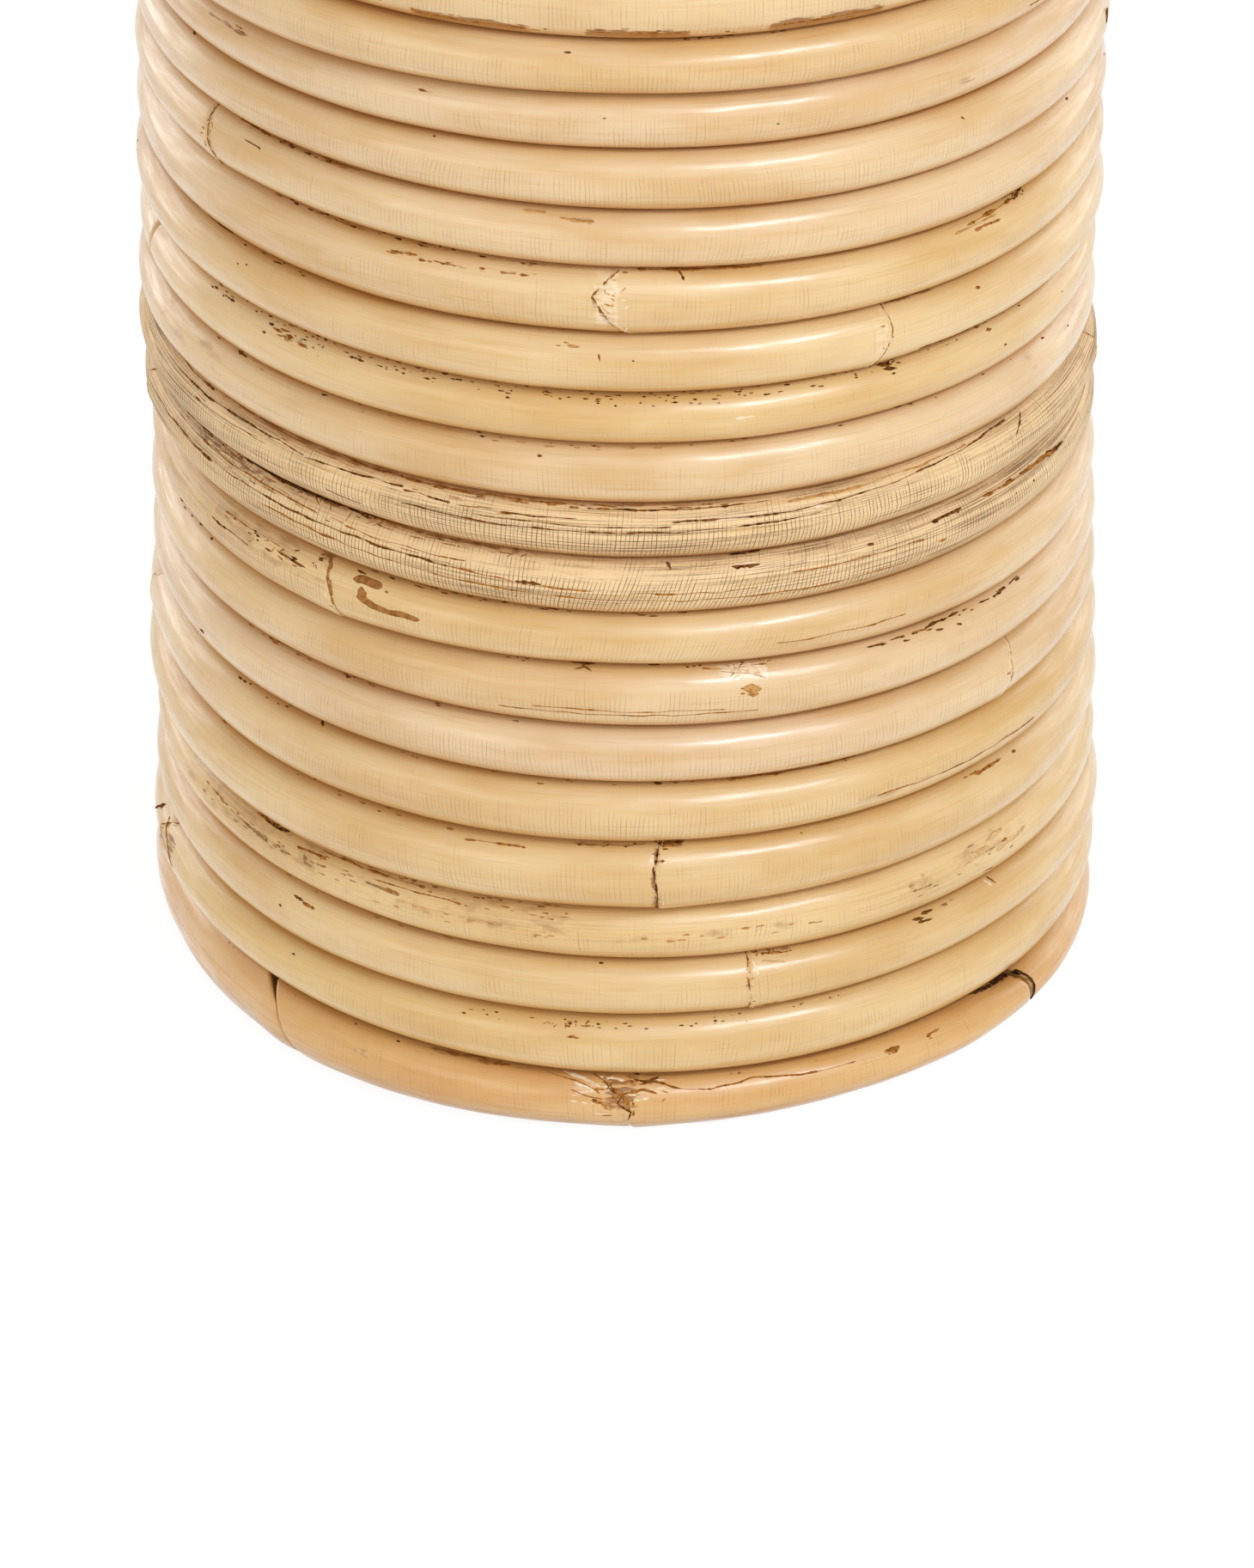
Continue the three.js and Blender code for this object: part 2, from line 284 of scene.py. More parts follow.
nodes = [
    (2, (-73, -77.5, -73.5), 0.35, 0.4),
    (3, (15.6, 15.0, 15.4), 0.42, 0.4),
    (5, (4.6, 3.8, 4.4), 0.5, 1),
    (6, (-80, -84, -82), 0.3, 0.6),
    (7, (55, 53, 51.8), -0.22, 0.35),
    (9, (-37.6, -35.5, -34.4), -0.3, 0.5),
    (10, (-75, -80, -77), 0.35, 0.7),
    (11, (79, 82, 80), -0.3, 0.5),
    (14, (32.5, 32.6, 30.5), -0.2, 0.3),
    (15, (0.2, -3.2, 0.6), 0.35, 0.6),
    (16, (-56.5, -55.3, -53.4), -0.3, 0.3),
]
footNode = (1, (-1.5, -0.5, 1.5), 0.25, 1)
nodeLook = {
    "reach": 40, "swell": 0.3, "swellLength": 7, "stepFade": 14, "creaseDepth": 0.35,
    "creaseWidth": 0.5, "jitter": 0.35, "jitterStep": 14, "rowSeeds": (7, 13), "footSeed": 77,
}
seededNodes = {
    "seed": 41, "first": 120, "spacing": (330, 640), "last": 0.6, "clearAzimuth": 82, "topRow": 21,
    "bend": (-1.5, 1.5), "rises": (-0.3, 0.3), "crease": (0.3, 1),
}


def addSeededNodes():
    # nodes where the front picture says nothing: the back, and all of the upper rows
    random = np.random.RandomState(seededNodes["seed"])
    along = seededNodes["first"]
    while along < (lines.total - seededNodes["last"]) * turnLength:
        row, azimuth = rowOf(along / turnLength)
        if abs(azimuth) > seededNodes["clearAzimuth"] or row > seededNodes["topRow"]:
            bend = azimuth + random.uniform(*seededNodes["bend"], 3)
            rise, crease = random.choice(seededNodes["rises"]), random.uniform(*seededNodes["crease"])
            nodes.append((round(row), tuple(bend), rise, crease))
        along += random.uniform(*seededNodes["spacing"])


addSeededNodes()


# what shows of a pole from the camera: how far it looks down, and how many radii the next pole leaves
seen = {"down": 31.6, "radii": 1.7}


def sectionAngle(up):
    # the angle around a pole, from level, at a share of the height of it that shows: 0 below, 1 above
    return math.degrees(math.asin(min(max(seen["radii"] * up - 1, -1), 1))) + seen["down"]


def outsideAngle(angle):
    # the same angle around a pole, between -90 and 270, with the outside up to 90
    return (np.asarray(angle, float) + 90) % 360 - 90


def nodeAzimuth(bend, angle):
    # where the ring of a node lies at an angle around the pole
    angles = [sectionAngle(0), sectionAngle(0.5), sectionAngle(1)]
    return np.interp(outsideAngle(angle), angles, bend[::-1])


def nodeJitter(angle, seed):
    return drift(angle, (nodeLook["jitter"], nodeLook["jitterStep"], seed))


def nodeTurns(node, angle):
    row, bend = node[:2]
    first, apart = nodeLook["rowSeeds"]
    jitter = nodeJitter(angle, first + int(row * apart))
    return turnsAt(row, nodeAzimuth(bend, angle)) + jitter / turnLength


def nodeAlong(bend, angle):
    return -nodeAzimuth(bend, angle) / 360 * turnLength + nodeJitter(angle, nodeLook["footSeed"])


def nodeRelief(gap, rise, crease):
    # the swelling at a node, the higher side and the line between the sides
    shape = nodeLook["swell"] * np.exp(-(gap / nodeLook["swellLength"]) ** 2)
    shape = shape + abs(rise) * (gap * rise < 0) * np.exp(-np.abs(gap) / nodeLook["stepFade"])
    return shape - nodeLook["creaseDepth"] * crease * np.exp(-(gap / nodeLook["creaseWidth"]) ** 2)


weathered = {
    "rows": (10, 11), "from": -90, "to": 80, "fade": 0.07,
    # lightly weathered stretches: row, azimuths from right to left, how much
    "stretches": [(9, -37, -78, 0.45), (4, 60, -70, 0.28)], "shortFade": 0.02,
    "dents": ((0.16, 46, 26, 6),),
}


def weatherAt(turns, angle):
    # how weathered the skin is: two rows lost their gloss and split
    def stretch(start, end, fadeIn, fadeOut):
        return smoothStep(turns, start - fadeIn, start) * (1 - smoothStep(turns, end, end + fadeOut))

    low, high = weathered["rows"]
    fade = weathered["fade"]
    start, end = turnsAt(low, weathered["to"]), turnsAt(high, weathered["from"])
    amount = stretch(start, end, fade, fade) + 0 * angle
    fade = weathered["shortFade"]
    for row, right, left, share in weathered["stretches"]:
        here = stretch(turnsAt(row, right), turnsAt(row, left), fade / 2, fade)
        amount = np.maximum(amount, share * here)
    return amount


def placed(azimuth, radius, height):
    turn = np.radians(azimuth)
    return np.stack([radius * np.sin(turn), -radius * np.cos(turn), height + 0 * radius], axis=-1)


def poleSurface(turns, angle, lift=0):
    # points on the winding, with its dents and nodes
    turns, angle = np.broadcast_arrays(np.asarray(turns, float), np.asarray(angle, float))
    along = turns * turnLength
    low, high = lines.seamAt(turns), lines.seamAt(turns + 1)
    middle, tall = (low + high) / 2, (high - low) / 2
    wide = lines.thickAt(turns) / 2
    azimuth = azimuthAt(turns)
    out = innerRadius(middle) + wide + bulge(azimuth, middle)
    out = out + drift(along, winding["radialWander"])
    relief = dents(along, angle, winding["dents"])
    relief = relief + weatherAt(turns, angle) * dents(along, angle, weathered["dents"])
    reach = nodeLook["reach"] / turnLength
    lowest, highest = turns.min() - reach, turns.max() + reach
    for node in nodes:
        centre = float(turnsAt(node[0], node[1][1]))
        near = np.abs(turns - centre) < reach
        if lowest < centre < highest and near.any():
            gap = (turns[near] - nodeTurns(node, angle[near])) * turnLength
            relief[near] += nodeRelief(gap, node[2], node[3])
    relief = relief * smoothStep(np.minimum(wide, tall), *winding["dentlessThickness"])
    turn = np.radians(angle)
    radius = out + (wide + relief + lift) * np.cos(turn)
    height = middle + (tall + relief * winding["dentsUpward"] + lift) * np.sin(turn)
    return placed(azimuth, radius, height)


def fuller(name, azimuth):
    azimuths, values = zip(*foot["fuller"].get(name, ((0, 0),)))
    return np.interp(azimuth, azimuths, values)


def footSurface(azimuth, angle, lift=0, swell=0):
    # points on the foot ring, which lies under the first turn
    azimuth, angle = np.broadcast_arrays(np.asarray(azimuth, float), np.asarray(angle, float))
    along = -azimuth / 360 * turnLength
    high = lines.seamAt(turnsAt(2, azimuth)) - winding["turnGap"] / 2
    tall = high / (2 - 2 * foot["flatShare"])
    wide = foot["width"] / 2
    out = innerRadius(0) + wide + bulge(azimuth, foot["level"]) + drift(along, foot["radialWander"])
    relief = dents(along, angle, foot["dents"])
    gap = along - nodeAlong(footNode[1], angle)
    relief = relief + nodeRelief(gap, footNode[2], footNode[3])
    turn = np.radians(angle)
    radius = out + (wide + relief + lift) * np.cos(turn) + swell * np.cos(turn).clip(0, 1)
    height = high - tall + (tall + relief + lift) * np.sin(turn)
    return placed(azimuth, radius, np.maximum(height, 0))


def endLift(end, azimuth, angle, behind):
    # how far an end of a foot pole is worn in or stands out, from so many millimetres behind the joint
    joint, side, by, length, above = end
    beyond = (azimuth - joint) * side * turnLength / 360
    shape = np.exp(-(beyond / length) ** 2) * (beyond > -behind)
    return by * shape * smoothStep(angle, above, above + foot["endFade"]) * (angle < foot["endTo"])


def surfaces(row, azimuth, angle, lift):
    # points on what shows of rows: row 1 is the foot
    points = poleSurface(turnsAt(row, azimuth), angle, lift)
    onFoot = row[:, 0] == 1
    wear = sum(endLift(end, azimuth[onFoot], angle[onFoot], 0) for end in foot["ends"])
    swell = fuller("foot_pole_front", azimuth[onFoot])
    points[onFoot] = footSurface(azimuth[onFoot], angle[onFoot], lift[onFoot] + wear, swell)
    return points


# Meshes made of tubes: rings of points, with a texture map laid out in strips

# shares of a strip of the map left free at either end and side, and the size of an end's spot in it
mapStrip = {"end": 0.01, "side": 0.02, "spot": 0.2, "spotPlaces": (0.3, 0.7)}


def pieceName(node):
    first, *rest = node.split("_")
    return first + "".join(word.title() for word in rest)


def tubePiece(name, tubes, columns, attributes, material, replaced=()):
    # tubes: (rings as an array n x m x 3, the ring at which each strip of the map starts)
    verts, faces, maps = [], [], []
    cells = sum(len(cuts) for rings, cuts in tubes) + 1
    rows = math.ceil(cells / columns)
    first, cell = 0, 0
    for rings, cuts in tubes:
        count, sides = rings.shape[:2]
        verts.append(rings.reshape(-1, 3))
        ring = np.arange(count - 1)
        cut = np.searchsorted(cuts, ring, side="right") - 1
        starts = np.array(list(cuts))
        stops = np.array(list(cuts[1:]) + [count - 1])
        side = np.arange(sides)
        a = first + ring[:, None] * sides + side
        b = first + ring[:, None] * sides + (side + 1) % sides
        faces.append(np.stack([a, a + sides, b + sides, b], axis=-1).reshape(-1, 4))
        span = (stops - starts)[cut]
        end, edge = mapStrip["end"], mapStrip["side"]
        low = end + (1 - 2 * end) * (ring - starts[cut]) / span
        high = end + (1 - 2 * end) * (ring + 1 - starts[cut]) / span
        place = cell + cut
        column, row = place % columns, place // columns
        u0, u1 = (column + low) / columns, (column + high) / columns
        v0 = (row[:, None] + edge + (1 - 2 * edge) * side / sides) / rows
        v1 = (row[:, None] + edge + (1 - 2 * edge) * (side + 1) / sides) / rows
        u0, u1 = np.broadcast_to(u0[:, None], v0.shape), np.broadcast_to(u1[:, None], v0.shape)
        corners = [(u0, v0), (u1, v0), (u1, v1), (u0, v1)]
        maps.append(np.stack([np.stack(c, axis=-1) for c in corners], axis=2).reshape(-1, 2))
        first += count * sides
        cell += len(cuts)
    points = np.concatenate(verts) * mm
    quads = np.concatenate(faces)
    caps, capMap = [], []
    first = 0
    for rings, cuts in tubes:
        count, sides = rings.shape[:2]
        turn = np.arange(sides) / sides * 2 * math.pi
        circle = np.stack([np.cos(turn), np.sin(turn)], axis=-1) * mapStrip["spot"] / max(rows, columns)
        around = np.arange(sides)
        ends = ((0, around), ((count - 1) * sides, around[::-1]))
        for (base, order), place in zip(ends, mapStrip["spotPlaces"]):
            caps.append((first + base + order).tolist())
            capMap.append(np.array([1 - place / columns, 1 - 0.5 / rows]) + circle[order])
        first += count * sides
    mesh = bpy.data.meshes.new(name)
    mesh.from_pydata(points.tolist(), [], quads.tolist() + caps)
    uv = mesh.uv_layers.new(name="OFBake")
    uv.data.foreach_set("uv", np.concatenate(maps + capMap).astype(np.float32).ravel())
    for key, values in attributes.items():
        values = np.asarray(values, np.float32)
        kind = "FLOAT_VECTOR" if values.ndim == 2 else "FLOAT"
        layer = mesh.attributes.new(key, kind, "POINT")
        layer.data.foreach_set("vector" if values.ndim == 2 else "value", values.ravel())
    mesh.polygons.foreach_set("use_smooth", [True] * len(quads) + [False] * len(caps))
    mesh.materials.append(material)
    mesh.update()
    piece = bpy.data.objects.new(name, mesh)
    bpy.context.scene.collection.objects.link(piece)
    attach(piece, "root")
    if replaced:
        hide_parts(*replaced)
    return piece


# Materials

def tint(red, green, blue):
    # a colour as it shows on a screen, made linear
    def linear(c):
        c = c / 255
        return c / 12.92 if c <= 0.04045 else ((c + 0.055) / 1.055) ** 2.4
    return (linear(red), linear(green), linear(blue), 1)


class Wire:
    # a socket in a material, on which sums can be written as expressions
    def __init__(self, tree, socket=None):
        self.tree = tree
        self.socket = socket

    def add(self, kind, settings=None, inputs=None, output=0):
        node = self.tree.nodes.new("ShaderNode" + kind)
        for key, value in (settings or {}).items():
            if key == "stops":
                ramp = node.color_ramp.elements
                while len(ramp) < len(value):
                    ramp.new(0.5)
                for stop, (place, colour) in zip(ramp, value):
                    stop.position, stop.color = place, colour
            else:
                setattr(node, key, value)
        for key, value in (inputs or {}).items():
            if isinstance(value, Wire):
                self.tree.links.new(value.socket, node.inputs[key])
            else:
                node.inputs[key].default_value = value
        return Wire(self.tree, node.outputs[output])

    def other(self, output):
        # another output of the same node
        return Wire(self.tree, self.socket.node.outputs[output])

    def parts(self):
        # the three values of a vector
        axes = self.add("SeparateXYZ", {}, {0: self})
        return [axes.other(i) for i in range(3)]

    def attribute(self, name, output="Fac"):
        return self.add("Attribute", {"attribute_name": name}, output=output)

    def math(self, operation, a, b=0):
        return self.add("Math", {"operation": operation}, {0: a, 1: b})

    def __add__(self, other):
        return self.math("ADD", self, other)

    def __radd__(self, other):
        return self.math("ADD", other, self)

    def __sub__(self, other):
        return self.math("SUBTRACT", self, other)

    def __rsub__(self, other):
        return self.math("SUBTRACT", other, self)

    def __mul__(self, other):
        return self.math("MULTIPLY", self, other)

    def __rmul__(self, other):
        return self.math("MULTIPLY", other, self)

    def __truediv__(self, other):
        return self.math("DIVIDE", self, other)

    def __rtruediv__(self, other):
        return self.math("DIVIDE", other, self)

    def __abs__(self):
        return self.math("ABSOLUTE", self)


def newMaterial(name, shader):
    # an empty material with a Principled shader, and a wire on its tree
    material = bpy.data.materials.new(name)
    material.use_nodes = True
    tree = material.node_tree
    tree.nodes.clear()
    principled = tree.nodes.new("ShaderNodeBsdfPrincipled")
    output = tree.nodes.new("ShaderNodeOutputMaterial")
    tree.links.new(principled.outputs[0], output.inputs[0])
    for key, value in shader.items():
        principled.inputs[key].default_value = value
    return material, principled, Wire(tree)


shaderSockets = {
    "colour": "Base Color", "roughness": "Roughness", "normal": "Normal", "coat": "Coat Weight",
}


def feed(principled, **sockets):
    for key, wire in sockets.items():
        wire.tree.links.new(wire.socket, principled.inputs[shaderSockets[key]])


def between(value, low, high):
    # 0 below low, 1 above high, smooth
    return value.add("MapRange", {"interpolation_type": "SMOOTHSTEP"},
                     {"Value": value, "From Min": low, "From Max": high})


def layer(value, look, weather=None):
    # a mask: from where to where in a value, how strong, and how much stronger on weathered skin
    low, high, strength, *more = look
    if more:
        return between(value, low, high) * (strength + weather * more[0])
    return between(value, low, high) * strength


def mix(factor, a, b):
    return factor.add("Mix", {"data_type": "RGBA"}, {0: factor, 6: a, 7: b}, 2)


def noise(vector, stretch, detail=2, offset=(0, 0, 0), roughness=0.5):
    # noise with its own scale along each axis
    place = vector.add("VectorMath", {"operation": "MULTIPLY_ADD"}, {0: vector, 1: stretch, 2: offset})
    return vector.add("TexNoise", {"noise_dimensions": "3D"},
                      {"Vector": place, "Scale": 1, "Detail": detail, "Roughness": roughness})


def bump(height, depth, strength):
    return height.add("Bump", {}, {"Height": height, "Distance": depth * mm, "Strength": strength})


caneSkin = {
    "straw": tint(212, 175, 111),
    "cream": tint(218, 187, 150),
    "deep": tint(198, 152, 83),
    "pale": tint(224, 195, 143),
    "hairline": tint(140, 98, 54),
    "crack": tint(116, 76, 38),
    "stain": tint(134, 80, 30),
    "speck": tint(96, 62, 36),
    # grime along the seams with painted shade: an orange-brown that darkens the seams where they lie in
    # shade
    "dirt": tint(186, 116, 24),
    "grey": tint(160, 116, 66),
    "scar": tint(234, 210, 176),
    "weather": tint(228, 194, 145),
    "shader": {"IOR": 1.5, "Specular IOR Level": 0.38, "Coat Roughness": 0.19, "Coat IOR": 1.5},
    # layers of colour: from where to where in their noise, how strong, how much more when weathered
    "deepPatches": (0.42, 0.68, 0.55), "palePatches": (0.5, 0.3, 0.4), "weathering": 0.75,
    "streakLines": (0.52, 0.72, 0.3, 0.4), "fibreLines": (0.55, 0.75, 0.16, 0.34),
    # splits along weathered skin: half width in noise and its edge, where they are, how dark
    "splitWidth": (0.012, 0.05), "splitPlaces": (0.45, 0.8), "splitGrain": 0.3, "splitDark": 0.8,
    # fine cracks across the pole, a little uneven and leaning where the skin was twisted
    "hairlineStep": 0.85,  # mm
    "hairlineWidth": (0.02, 0.13), "hairlineLean": 0.9, "hairlineUneven": 1.5,
    "brokenBy": 1.4, "singleBy": 0.8, "hairlinePlaces": (0.1, 0.9), "hairlineDark": (0.46, 0.44),
    # small specks, more of them where the attribute says
    "speckCells": (0.55, 0.9, 0.9), "speckSize": (0.05, 0.18), "speckRagged": 0.3,
    "speckEdge": (0.0, 0.06), "speckChance": 0.6, "speckPlaces": (0.88, 0.94), "speckDark": 0.8,
    # how ragged and blotchy the marks are, and each kind's layer
    "raggedBy": 1.1, "blotchBy": 1.6, "scarRagged": 0.6, "greyRagged": 0.3, "stainBlotch": 0.3,
    "scars": (0.4, 0.7, 0.75), "greys": (0.35, 0.8, 0.55), "stains": (0.42, 0.66, 0.82),
    # the ragged edge of the seams' grime and painted shade, and its layer
    "seamRagged": 0.5, "seamDirtAndShade": (0.05, 1.2, 0.85),
    "roughness": 0.36, "roughStreaks": 0.22, "roughWeather": 0.2, "roughSpecks": 0.2,
    "bumpFibres": 0.3, "bumpGrain": 0.12, "bumpCracks": 0.5, "bumpStreaks": 1.2, "bumpSplits": 1.5,
    "bumpDepth": 0.09, "bumpStrength": 0.8,
    # the glossy coat: where it is full in its noise, the least of it, what weather and marks take off
    "coatRipple": (0.36, 0.66, 0.6), "coatLeast": 0.4, "coatWeather": 0.85, "coatMarks": 0.9,
    "coatMarked": (0.3, 0.7), "coatGrey": 0.6,
}
footSkin = {
    "straw": tint(206, 158, 92),
    "cream": tint(212, 168, 108),
    "deep": tint(196, 138, 74),
    "pale": tint(220, 180, 126),
    # a browner dark for the foot: grime and painted shade at its top seam, and painted shade over its
    # underside
    "dirt": tint(146, 96, 42),
}
splitSkin = {
    "straw": tint(204, 164, 112),
    "cream": tint(212, 176, 128),
    "deep": tint(180, 134, 82),
    "pale": tint(220, 188, 142),
}
# noises in the skin: turns a millimetre along, outward and upward, detail, place, roughness
skinNoises = {
    "patches": ((0.028, 0.11, 0.11), 3),
    "streaks": ((0.045, 1.5, 1.5), 3, (0, 0, 0), 0.6),
    "fibres": ((0.05, 4.2, 4.2), 2),
    "grain": ((0.9, 2.6, 2.6), 3),
    "splits": ((0.018, 1.9, 1.9), 2, (5, 41, 3)),
    "lean": ((0.015, 0, 0), 1),
    "unevenness": ((0.35, 0.1, 0.1), 1),
    "single": ((1.3, 0.05, 0.05), 0, (7, 3, 1)),
    "broken": ((0.2, 0.35, 0.35), 2, (17, 13, 11)),
    "ragged": ((0.35, 1.7, 1.7), 3, (3, 9, 2)),
    "blotch": ((0.22, 0.4, 0.4), 3, (23, 5, 8)),
    "ripple": ((0.12, 1.1, 1.1), 2, (31, 4, 6)),
}


def caneMaterial(name, look):
    material, principled, start = newMaterial(name, look["shader"])
    space, marks, state = (start.attribute(key, "Vector") for key in ("poleSpace", "marks", "state"))
    tone = start.attribute("tone")
    along, outward, upward = space.parts()
    stain, grey, pale = marks.parts()
    weather, hair, specks = state.parts()

    def skin(key):
        return noise(space, *skinNoises[key])

    def off(key, by):
        # a noise around zero
        return (skin(key) - 0.5) * by

    patches, streaks, fibres, grain = (skin(key) for key in ("patches", "streaks", "fibres", "grain"))
    colour = mix(tone, look["straw"], look["cream"])
    colour = mix(layer(patches, look["deepPatches"]), colour, look["deep"])
    colour = mix(layer(patches, look["palePatches"]), colour, look["pale"])
    colour = mix(weather * look["weathering"], colour, look["weather"])
    colour = mix(layer(streaks, look["streakLines"], weather), colour, look["deep"])
    colour = mix(layer(fibres, look["fibreLines"], weather), colour, look["hairline"])
    splits = 1 - between(abs(skin("splits") - 0.5), *look["splitWidth"])
    splits = splits * between(patches + grain * look["splitGrain"], *look["splitPlaces"]) * weather
    colour = mix(splits * look["splitDark"], colour, look["crack"])

    lean = off("lean", upward) * look["hairlineLean"]
    phase = (along + lean) / look["hairlineStep"] + skin("unevenness") * look["hairlineUneven"]
    cracks = 1 - between(abs(phase.math("FRACT", phase) - 0.5), *look["hairlineWidth"])
    amount = hair + off("broken", look["brokenBy"]) + off("single", look["singleBy"])
    amount = between(amount, *look["hairlinePlaces"])
    crackColour = mix(weather, look["hairline"], look["crack"])
    dark, weatheredDark = look["hairlineDark"]
    colour = mix(cracks * amount * (dark + weather * weatheredDark), colour, crackColour)

    place = start.add("VectorMath", {"operation": "MULTIPLY"}, {0: space, 1: look["speckCells"]})
    cells = start.add("TexVoronoi", {"feature": "F1"}, {"Vector": place, "Scale": 1})
    chance = start.add("SeparateColor", {}, {0: cells.other("Color")})
    least, more = look["speckSize"]
    dots = least + chance * more - cells + (grain - 0.5) * look["speckRagged"]
    dots = between(dots, *look["speckEdge"])
    dots = dots * between(specks + chance * look["speckChance"], *look["speckPlaces"])
    colour = mix(dots * look["speckDark"], colour, look["speck"])

    ragged, blotch = off("ragged", look["raggedBy"]), off("blotch", look["blotchBy"])
    colour = mix(layer(pale + ragged * look["scarRagged"], look["scars"]), colour, look["scar"])
    greyed = grey + blotch + ragged * look["greyRagged"]
    colour = mix(layer(greyed, look["greys"]), colour, look["grey"])
    stained = stain + ragged + blotch * look["stainBlotch"]
    colour = mix(layer(stained, look["stains"]), colour, look["stain"])
    # grime and painted shade along the seams, with a ragged edge
    seams = start.attribute("dirt") + (streaks - 0.5) * look["seamRagged"]
    colour = mix(layer(seams, look["seamDirtAndShade"]), colour, look["dirt"])

    rough = look["roughness"] + (streaks - 0.5) * look["roughStreaks"]
    rough = rough + weather * look["roughWeather"] + dots * look["roughSpecks"]
    height = fibres * look["bumpFibres"] + grain * look["bumpGrain"]
    height = height - cracks * amount * (look["bumpCracks"] + weather)
    height = height + (streaks * look["bumpStreaks"] - splits * look["bumpSplits"]) * weather
    coat = look["coatLeast"] + layer(skin("ripple"), look["coatRipple"])
    marked = between(stain + grey * look["coatGrey"] + ragged, *look["coatMarked"])
    coat = coat * (1 - weather * look["coatWeather"]) * (1 - marked * look["coatMarks"])
    feed(principled, colour=colour, roughness=rough, coat=coat,
         normal=bump(height, look["bumpDepth"], look["bumpStrength"]))
    return material


# Marks of the front, read row by row: kind, row, azimuths from and to, heights from and to, strength

softMarks = [
    ("stain", 18, -56.5, -48.5, 0.6, 0.72, 0.8), ("grey", 18, 38.2, 45.2, 0.64, 0.72, 0.85),
    ("stain", 18, 57.5, 62, 0.9, 0.99, 1), ("grey", 18, -24, -22, 0.64, 0.7, 0.9),
    ("grey", 18, 42.3, 45.4, 0.2, 0.3, 1), ("stain", 17, 20, 42, 0.36, 0.4, 0.5),
    ("stain", 16, -52, -32, 0.89, 0.99, 0.75), ("stain", 16, -49, -46, 0.64, 0.7, 0.6),
    ("stain", 15, -46, -5, 0.93, 1.02, 0.62), ("stain", 15, -29, -9.5, 0.7, 0.78, 0.62),
    ("stain", 16, -11.2, -8, 0.82, 0.9, 0.8), ("stain", 16, -7, -2.8, 0.72, 0.82, 0.8),
    ("stain", 20, -24, -10, 0.0, 0.09, 0.8), ("stain", 20, -4, 8, 0.0, 0.09, 0.8),
    ("stain", 20, 17, 31, 0.0, 0.1, 0.9), ("stain", 17, -10, 42, 0.34, 0.4, 0.4),
    ("pale", 15, -3.2, 0.3, 0.05, 1, 0.55), ("stain", 15, 1, 17, 0.98, 1.04, 1),
    ("stain", 14, 33, 40, 0.95, 1.02, 0.9), ("pale", 14, 29.5, 32.5, 0.1, 0.95, 0.45),
    ("stain", 13, -45, -37, 0.6, 0.8, 0.55), ("stain", 13, 46, 50, 0.78, 0.84, 0.7),
    ("grey", 12, -70, -52, 0.3, 0.95, 0.4), ("grey", 12, 55, 75, 0.4, 0.9, 0.3),
    ("grey", 10, -68, -59, 0.8, 0.92, 0.9), ("grey", 10, 20, 60, 0.5, 0.9, 0.3),
    ("grey", 11, 56, 78, 0.2, 0.9, 0.3), ("grey", 10, -45, -10, 0.9, 1, 0.6),
    ("stain", 9, -38.6, -36.4, 0.86, 1, 0.9), ("stain", 9, -46, -39.5, 0.52, 0.66, 0.7),
    # the strongest stain on the top of row 10 and the one on the bottom of row 11, between azimuths -70
    # and -34, paint the shadow in the gap between these rows
    ("stain", 10, -66, -12, 0.86, 1.02, 0.66), ("stain", 10, -68, -36, 0.92, 1.04, 1.1),
    ("stain", 10, -62, -40, 0.6, 0.84, 0.5), ("stain", 11, -70, 10, 0.93, 1.02, 0.75),
    ("stain", 11, -70, -34, -0.04, 0.04, 0.9), ("stain", 11, -40, -10, 0.78, 0.9, 0.45),
    ("stain", 10, -30, -8, 0.44, 0.52, 0.5), ("stain", 10, 18, 60, 0.66, 0.76, 0.5),
    ("stain", 9, -60, -10, 0.96, 1.02, 0.6), ("grey", 9, -57, -40, 0.3, 0.95, 0.55),
    ("pale", 8, 11.5, 17.5, 0.68, 0.98, 0.85), ("stain", 8, 14, 16.5, 0.38, 0.56, 0.62),
    ("stain", 6, 13, 31, 0.97, 1.02, 0.75), ("grey", 6, 28, 58, 0.1, 0.3, 0.5),
    ("stain", 5, -18.5, -11, 0.79, 0.83, 0.7), ("stain", 5, -5.5, 3, 0.9, 0.98, 0.7),
    ("stain", 5, 4.5, 7.5, 0.9, 1.03, 1), ("stain", 5, 48, 53, 0.81, 0.85, 0.8),
    ("stain", 4, -50, -44, 0.8, 0.9, 0.95), ("stain", 4, -36, -4, 0.85, 0.93, 0.5),
    ("grey", 4, -49.5, -39.5, 0.45, 0.53, 0.9), ("grey", 4, -67, -54, 0.3, 0.45, 0.7),
    ("grey", 4, -25, -21, 0.33, 0.42, 0.9), ("grey", 4, -68, -4, 0.25, 0.95, 0.42),
    ("grey", 4, -16, 24, 0.3, 0.42, 0.6), ("grey", 4, 36, 40, 0.22, 0.7, 0.5),
    ("grey", 4, 42.5, 57, 0.2, 0.75, 0.42), ("stain", 3, 17, 21, 0.94, 1, 0.8),
    ("pale", 3, 16, 20.5, 0.5, 0.98, 0.4), ("grey", 3, 42, 47, 0.8, 0.9, 0.6),
    ("grey", 3, 34, 37, 0.62, 0.68, 0.8), ("stain", 2, 44, 57, -0.02, 0.04, 0.8),
]

